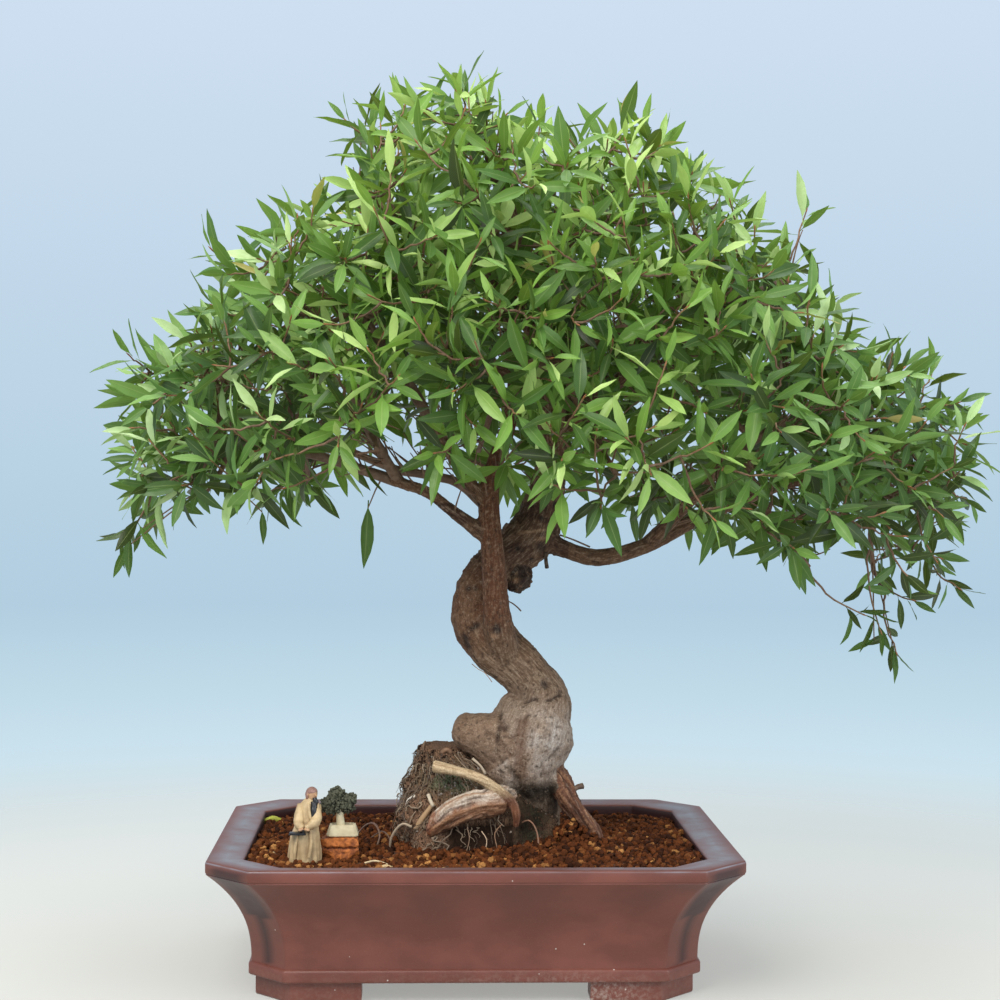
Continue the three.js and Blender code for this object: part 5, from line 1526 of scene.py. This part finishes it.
def make_foliage(leaf, twig):
    """One piece of foliage for each leafy spray: the shoots and single leaves nearest to it."""
    rng = np.random.default_rng(29)
    tips = shoot_targets(rng)
    centres = np.array([at for at, _ in PLACES])
    owner = np.linalg.norm(tips[:, None] - centres[None], axis=2).argmin(1)
    heaps = [Heap() for _ in PLACES]
    for number, heap in enumerate(heaps):
        butt = np.array(CARRIERS[number][-1][:3])
        mine = tips[owner == number]
        own = [butt]
        for tip in mine[np.argsort(np.linalg.norm(mine - butt, axis=1))]:
            own += grow_shoot(rng, heap, np.vstack([np.array(own), WOOD_AT]), tip)
    for stalk, tip, depth in LONE_LEAVES:
        base = unproject(*stalk, depth)
        hang_leaf(heaps[np.linalg.norm(centres - base, axis=1).argmin()], stalk, tip, depth)
    for number, heap in enumerate(heaps, 1):
        heap.piece(f"foliage_{number:02d}", [leaf, twig], "leaf", [f"leafy_spray_{number:02d}"])


# Figurines


def lathe(levels, count, sides, fold=None):
    """A smooth closed shape through level ellipses (z, centre x, centre y, half x, half y)."""
    levels, t = np.array(levels, float), np.linspace(0, 1, count)
    centres, half_x = curve_at(levels[:, :4], t)
    _, half_y = curve_at(levels[:, [0, 1, 2, 4]], t)
    angles = turns(sides)
    rings = []
    for (z, x, y), rx, ry in zip(centres, half_x, half_y):
        k = 1 if fold is None else 1 + fold(angles, z)
        across, along_y = x + rx * k * np.cos(angles), y + ry * k * np.sin(angles)
        rings.append(np.column_stack([across, along_y, np.full(sides, z)]))
    return capped(np.vstack(rings), tube_faces(count, sides), sides)


def moved(stations, by):
    """Stations of a limb, moved."""
    return np.array(stations, float) + [*by, 0]


def make_robe(at, look):
    """The seated body in its robe: skirt with folds, arms, lapels and hanging folds in front."""
    x, y, z = at
    levels = [
        (z, x, y, 15.6, 12.6), (z + 12, x, y, 15.2, 12.4), (z + 24, x + 0.4, y - 0.8, 14, 12),
        (z + 33, x + 1.5, y, 11.8, 9.8), (z + 45, x + 3, y + 1, 11, 8.6), (z + 53, x + 4, y + 1, 9.8, 7.3),
        (z + 58.5, x + 5, y + 1, 6.6, 5.4), (z + 62, x + 6, y + 0.5, 3.8, 3.8),
    ]

    def fold(a, h):
        wave = 0.05 * np.sin(7 * a + 0.05 * h) + 0.035 * np.sin(15 * a + 1) + 0.02 * np.sin(4 * a - h / 6)
        return ramp(h, z + 32, z + 6) * wave + 0.014 * np.sin(5 * a + h / 5)

    heap = Heap()
    heap.add(*lathe(levels, 48, 84, fold))
    for arm in (
        [(-3, 1, 54, 4.2), (-5, -4.5, 45, 4.8), (-4.6, -10.5, 37, 4.6), (-1, -14, 34, 3.0)],
        [(11, 0, 54, 4.2), (12, -5, 45, 4.8), (9.5, -10.5, 38.5, 4.8), (1.5, -14.5, 34.5, 3.0)],
    ):
        add_limb(heap, moved(arm, at), 18, 1.0, 0.07, 12)
    for lapel in (
        [(4, -6.6, 57, 1.5), (4.8, -8.2, 48, 1.6), (7.4, -8.8, 38, 1.2)],
        [(12.6, -3.4, 57, 1.4), (12.8, -5.2, 48, 1.5), (9.6, -8, 38, 1.2)],
        [(6, -12, 33, 1.4), (7, -13, 20, 1.8), (5, -13.4, 6, 1.4)],
        [(-6, -11.6, 30, 1.2), (-8, -12.2, 16, 1.7), (-9, -12, 4, 1.4)],
    ):
        add_limb(heap, moved(lapel, at), 8, 1.2)
    heap.piece("scholar_robe", [look], "robe_glaze", ["scholar"])


def make_book(at, look):
    """An open book: covers, pages and one leaf that stands up."""
    book = bmesh.new()
    for low, high in (
        ((-14, -19, 28.6), (2, -9, 29.4)),
        ((-13.6, -18.6, 29.4), (1.6, -9.4, 30.6)),
        ((-0.8, -19, 29.4), (0.2, -11, 33.4)),
    ):
        for vert in bmesh.ops.create_cube(book, size=1)["verts"]:
            share = np.array(vert.co) + 0.5
            vert.co = to_frame(at + mix(np.array(low), np.array(high), share))
    bmesh.ops.bevel(book, geom=book.edges[:], offset=0.0003, segments=2, affect="EDGES")
    mesh = bpy.data.meshes.new("scholar_book")
    book.to_mesh(mesh)
    book.free()
    new_piece("scholar_book", mesh, [look])


# The head's middle over the point where the scholar sits, and how far it is turned and bowed
HEAD_AT = [7, -0.5, 65]
HEAD_TURN, HEAD_BOW = math.radians(42), math.radians(10)


def make_scholar(robe, dark, skin, cloth):
    """The seated figure: robe, head and hands, head cloth, beard and dark shirt, and book."""
    at = np.array([*SCHOLAR_AT, FIGURE_GROUND])
    make_robe(at, robe)

    # what belongs to the head is made about its middle, facing forwards, then turned and bowed
    turn = np.array(Matrix.Rotation(HEAD_TURN, 3, "Z") @ Matrix.Rotation(HEAD_BOW, 3, "X"))

    def put_on(heap):
        heap.points = [points @ turn.T + (at + HEAD_AT) for points in heap.points]

    head = Heap()
    levels = [
        (-6.2, 0.4, -0.6, 1.6, 1.8), (-5, 0, -0.6, 3.3, 3.6), (-2.4, 0, -0.3, 4.5, 4.9),
        (0.5, 0, 0, 4.9, 5.3), (3.2, 0, 0.2, 4.5, 4.9), (5.4, 0, 0.4, 2.8, 3.2), (6.2, 0, 0.5, 0.8, 1.0),
    ]
    head.add(*lathe(levels, 22, 26))
    add_limb(head, [(0, -4.8, 1.4, 0.5), (0, -5.9, -0.3, 0.8), (0, -5.2, -1.1, 0.6)], 8, 0.4)
    for sign in (-1, 1):
        ear = [(4.7 * sign, 0.2, 1, 0.7), (5.2 * sign, 0.4, -0.6, 0.9), (4.7 * sign, 0.2, -2, 0.6)]
        add_limb(head, ear, 8, 0.5)
    put_on(head)
    for hx, hand in ((-1, 1), (1.5, -1)):
        palm = [(hx, -14.5, 33.8, 1.8), (hx - 2 * hand, -16.4, 33.4, 1.6), (hx - 4 * hand, -17.2, 33.2, 0.9)]
        add_limb(head, moved(palm, at), 8, 0.6)
    head.piece("scholar_head", [skin], "robe_glaze")

    cap = Heap()
    levels = [
        (0.6, 0, 0.9, 5.1, 5.2), (2.4, 0, 0.6, 5.3, 5.5), (4.4, 0, 0.5, 4.4, 4.8), (5.9, 0, 0.6, 2.6, 3.0),
        (6.7, 0, 0.7, 0.6, 0.8),
    ]
    cap.add(*lathe(levels, 14, 26))
    add_limb(cap, [(0, 4.4, 3, 2.6), (0, 5.4, -2, 3.2), (0.5, 4.6, -8, 2.2)], 12, 0.8, 0.06)
    add_limb(cap, [(-4.6, 1.5, 2, 1.2), (-5.2, 1, -2, 1.6), (-4, 1, -6, 1.0)], 10, 0.8, 0.06)
    put_on(cap)
    cap.piece("scholar_head_cloth", [cloth], "robe_glaze")

    black = Heap()
    beard = [(0, -4.4, -2.6, 2.3), (0, -5.8, -6, 2.9), (0, -6.4, -10, 2.4), (-0.3, -6.4, -14, 0.9)]
    add_limb(black, beard, 14, 0.9, 0.12, 9)
    put_on(black)
    shirt = [(8.6, -3.6, 58, 2.8), (8.8, -5.6, 49, 3.6), (8.2, -6.6, 40, 2.4)]
    add_limb(black, moved(shirt, at), 14, 1.2, 0.05)
    black.piece("scholar_beard_and_shirt", [dark], "dark_green_glaze")
    make_book(at, dark)


# Heights of the rock's top, the planter's foot and the foot of the little tree's crown
ROCK_TOP, PLANTER_GROUND, CROWN_GROUND = (FIGURE_GROUND + rise for rise in (21.8, 22.3, 34.1))


def make_rock(x, y, look):
    """A lump cut by flat faces, with a deep level crack."""
    rng = np.random.default_rng(12)
    bm = bmesh.new()
    bmesh.ops.create_cube(bm, size=2)
    bmesh.ops.subdivide_edges(bm, edges=bm.edges[:], cuts=30, use_grid_fill=True)
    way = unit(np.array([v.co for v in bm.verts]))
    half = np.array([16.6, 12.6, 11.0])
    sides = [(1, 0, 0), (-1, 0, 0), (0, 1, 0), (0, -1, 0), (0, 0, 1), (0, 0, -1)]
    normals = unit(np.vstack([np.array(sides) + rng.normal(0, 0.07, (6, 3)), rng.normal(size=(14, 3))]))
    reach = np.concatenate([np.ones(6), rng.uniform(1.12, 1.3, 14)])
    facing = np.maximum(way @ normals.T, 1e-3)
    points = way * (reach / facing).min(1)[:, None] * half
    crack = near(points[:, 2], 0.5 + 2.2 * wobble(points * [1, 1, 0], 14, 4), 1.3)
    points *= 1 - 0.17 * crack[:, None] * [1, 1, 0]
    points += way * (wobble(points, 5, 5, 4) * 0.9)[:, None]
    points += [x, y, FIGURE_GROUND + 11]
    points[:, 2] = np.clip(points[:, 2], FIGURE_GROUND, ROCK_TOP)
    for v, p in zip(bm.verts, to_frame(points)):
        v.co = p
    mesh = bpy.data.meshes.new("rock_block")
    bm.to_mesh(mesh)
    bm.free()
    smooth_but_sharp(mesh, 32)
    new_piece("rock_block", mesh, [look], ["rock"])


def make_planter(x, y, look):
    """A tray with sloping sides and cut corners, and the little tree's trunk."""
    rings = []
    for h, half_x, half_y in (
        (0, 14.4, 9.4), (0.7, 15.1, 10.1), (1.7, 15.2, 10.2), (9.9, 12.5, 8.0), (10.7, 12.0, 7.6),
        (10.9, 10.9, 6.6), (10.2, 10.3, 6.0),
    ):
        corners = cut_corners(half_x, half_y, 2.4)
        for a, b in zip(corners, np.roll(corners, -1, 0)):
            rings += [(*mix(a, b, k / 6), h) for k in range(6)]
    points = np.array(rings) + [x + 1.5, y, PLANTER_GROUND]
    points += wobble(points, 6, 4)[:, None] * [0.3, 0.3, 0]
    heap = Heap()
    heap.add(*capped(points, tube_faces(len(points) // 48, 48), 48))
    trunk = [(x - 0.5, y, 158, 4.4), (x - 1, y, 168, 3.7), (x - 1.5, y, 174, 3.2), (x - 3, y, 180, 3.4)]
    add_limb(heap, trunk, 20, 0.8, 0.06, 6)
    mesh = heap.mesh("planter_and_little_trunk")
    smooth_but_sharp(mesh, 30)
    new_piece("planter_and_little_trunk", mesh, [look], ["planter"])


def make_little_crown(x, y, look):
    """The little tree's crown of small lumps."""
    rng = np.random.default_rng(3)
    heap = Heap()
    shape, faces = icosahedron()
    sites, sizes = [], []
    for dx, dy, dz, r in (
        (-12, 0, 17, 7.6), (4.5, 1, 18, 8.4), (-4, -1, 26.5, 7.8), (-4, 0, 17.5, 8.2), (9, 0, 23, 5.5),
        (-9, -2, 23, 5.5),
    ):
        middle = np.array([x + dx, y + dy, CROWN_GROUND + dz])
        way = unit(rng.normal(size=(110, 3)))
        sites.append(middle + way * r * rng.uniform(0.82, 1.08, (110, 1)))
        sizes.append(rng.uniform(0.9, 2.3, 110))
        heap.add(*scatter(rng, middle[None], [r * 0.95], shape, faces))
    heap.add(*scatter(rng, np.vstack(sites), np.concatenate(sizes), shape, faces))
    heap.piece("little_tree_crown", [look], "dark_green_glaze", ["miniature_tree"])


# Studio

# The floor fades out between these distances from the pot, and is nowhere more solid than this
FLOOR_CLEAR, FLOOR_END, FLOOR_COVER = 700.0, 1700.0, 0.6
# The studio's colour by the height of a direction over the horizon, as the sine of its angle
STUDIO = [
    (-0.24, (231, 233, 229)), (-0.15, (205, 228, 239)), (-0.07, (178, 206, 224)), (0.24, (206, 223, 241)),
    (0.6, (190, 193, 198)),
]
# Lights: name, place, size in metres, power and colour
LIGHTS = [
    ("key", (-900, -1500, 1900), 1.6, 54, (1.0, 0.97, 0.92)),
    ("top", (100, 200, 2300), 2.0, 38, (0.95, 0.98, 1.0)),
    ("fill", (1500, -1300, 900), 1.8, 22, (0.95, 0.98, 1.0)),
]


def make_stage():
    """A round pale floor, partly clear, that fades out into the studio."""
    look = Look("floor")
    cloud = look.step(look.noise(900, 2), 0.3, 0.7, 0, 0.04)
    look.paint(look.blend(cloud, rgb(196, 195, 189), rgb(208, 207, 202)))
    look.put(look.shader, "Alpha", look.layer("cover"))
    sides, radii = 96, np.linspace(40, FLOOR_END, 40)
    turn = turns(sides)
    ring = np.column_stack([np.cos(turn), np.sin(turn), np.zeros(sides)])
    points = np.vstack([r * ring for r in radii])
    faces = tube_faces(len(radii), sides).tolist() + [list(range(sides))]
    share = np.clip((FLOOR_END - radii) / (FLOOR_END - FLOOR_CLEAR), 0, 1)
    cover = np.repeat(FLOOR_COVER * share * share * (3 - 2 * share), sides)
    mesh = new_mesh("floor", points, faces, True, {"cover": cover})
    mesh.materials.append(look.finish(look.step(cloud, 0, 0.04, 0.85, 0.95), 0.0))
    add_object("floor", mesh)


def make_light():
    """The studio's gradient on the world, and three round lamps that face the tree."""
    world = bpy.data.worlds.new("studio")
    bpy.context.scene.world = world
    world.use_nodes = True
    nodes, links = world.node_tree.nodes, world.node_tree.links
    kinds = ("TexCoord", "SeparateXYZ", "MapRange", "ValToRGB")
    way, height, place, ramp_node = (nodes.new("ShaderNode" + kind) for kind in kinds)
    lowest, highest = STUDIO[0][0], STUDIO[-1][0]
    place.inputs[1].default_value, place.inputs[2].default_value = lowest, highest
    links.new(way.outputs["Generated"], height.inputs[0])
    links.new(height.outputs[2], place.inputs[0])
    links.new(place.outputs[0], ramp_node.inputs[0])
    links.new(ramp_node.outputs[0], nodes["Background"].inputs[0])
    stops = ramp_node.color_ramp.elements
    for number, (rise, colour) in enumerate(STUDIO):
        share = (rise - lowest) / (highest - lowest)
        stop = stops.new(share) if 0 < number < len(STUDIO) - 1 else stops[-1 if number else 0]
        stop.position, stop.color = share, (*rgb(*colour), 1)
    middle = Vector(to_frame([40, 0, 420]))
    for name, at, size, power, colour in LIGHTS:
        data = bpy.data.lights.new(name, "AREA")
        data.shape = "DISK"
        data.size, data.energy, data.color = size, power, colour
        lamp = add_object(name, data)
        lamp.location = to_frame(at)
        lamp.rotation_euler = (middle - lamp.location).to_track_quat("-Z", "Y").to_euler()


def make_camera():
    """A camera where the photograph was taken from."""
    data = bpy.data.cameras.new("camera")
    data.sensor_width = 36.0
    data.lens = data.sensor_width * CAMERA_FOCAL / 1000
    data.clip_start, data.clip_end = 0.05, 50
    camera = add_object("camera", data)
    turn = Matrix((RIGHT, TOP, -AHEAD)).transposed().to_4x4()
    camera.matrix_world = Matrix.Translation(Vector(to_frame(CAMERA_AT))) @ turn
    bpy.context.scene.camera = camera


bpy.context.scene.view_settings.view_transform = "Standard"
make_camera()
make_light()
make_stage()

twigs, screens = twig_look(), screen_look()
make_pot(clay_look())
dress("drain_screen_left", screens)
dress("drain_screen_right", screens)
akadama = crumb_look("akadama", rgb(44, 21, 9), rgb(110, 60, 28), rgb(204, 146, 84), 1.5)
make_soil(soil_look(), akadama, twigs)
make_root_mat(mat_look())
ball_rng = np.random.default_rng(5)
old_soil = crumb_look("old_soil", rgb(36, 24, 17), rgb(108, 84, 66), rgb(190, 180, 168), 1.2)
make_ball_crumbs(ball_rng, old_soil)
make_fine_roots(ball_rng, twigs)
make_trunk(bark_look())
make_branches(twigs)
make_foliage(leaf_look(), twigs)
make_scholar(
    glaze_look("robe_glaze", rgb(196, 170, 128), rgb(122, 94, 66), 9, 0.55),
    glaze_look("black_glaze", rgb(34, 34, 37), rgb(12, 12, 13), 6, 0.35),
    glaze_look("skin_glaze", rgb(200, 160, 122), rgb(134, 90, 66), 5, 0.5),
    glaze_look("head_cloth_glaze", rgb(146, 110, 98), rgb(88, 60, 52), 4, 0.55),
)
make_rock(*ROCK_AT, glaze_look("rock_glaze", rgb(186, 106, 44), rgb(82, 36, 18), 5, 0.75, 0.8, 0.8))
make_planter(*ROCK_AT, glaze_look("cream_glaze", rgb(206, 194, 160), rgb(146, 126, 94), 10, 0.6))
make_little_crown(*ROCK_AT, glaze_look("dark_green_glaze", rgb(80, 80, 62), rgb(30, 32, 24), 4, 0.8))

bpy.context.view_layer.update()
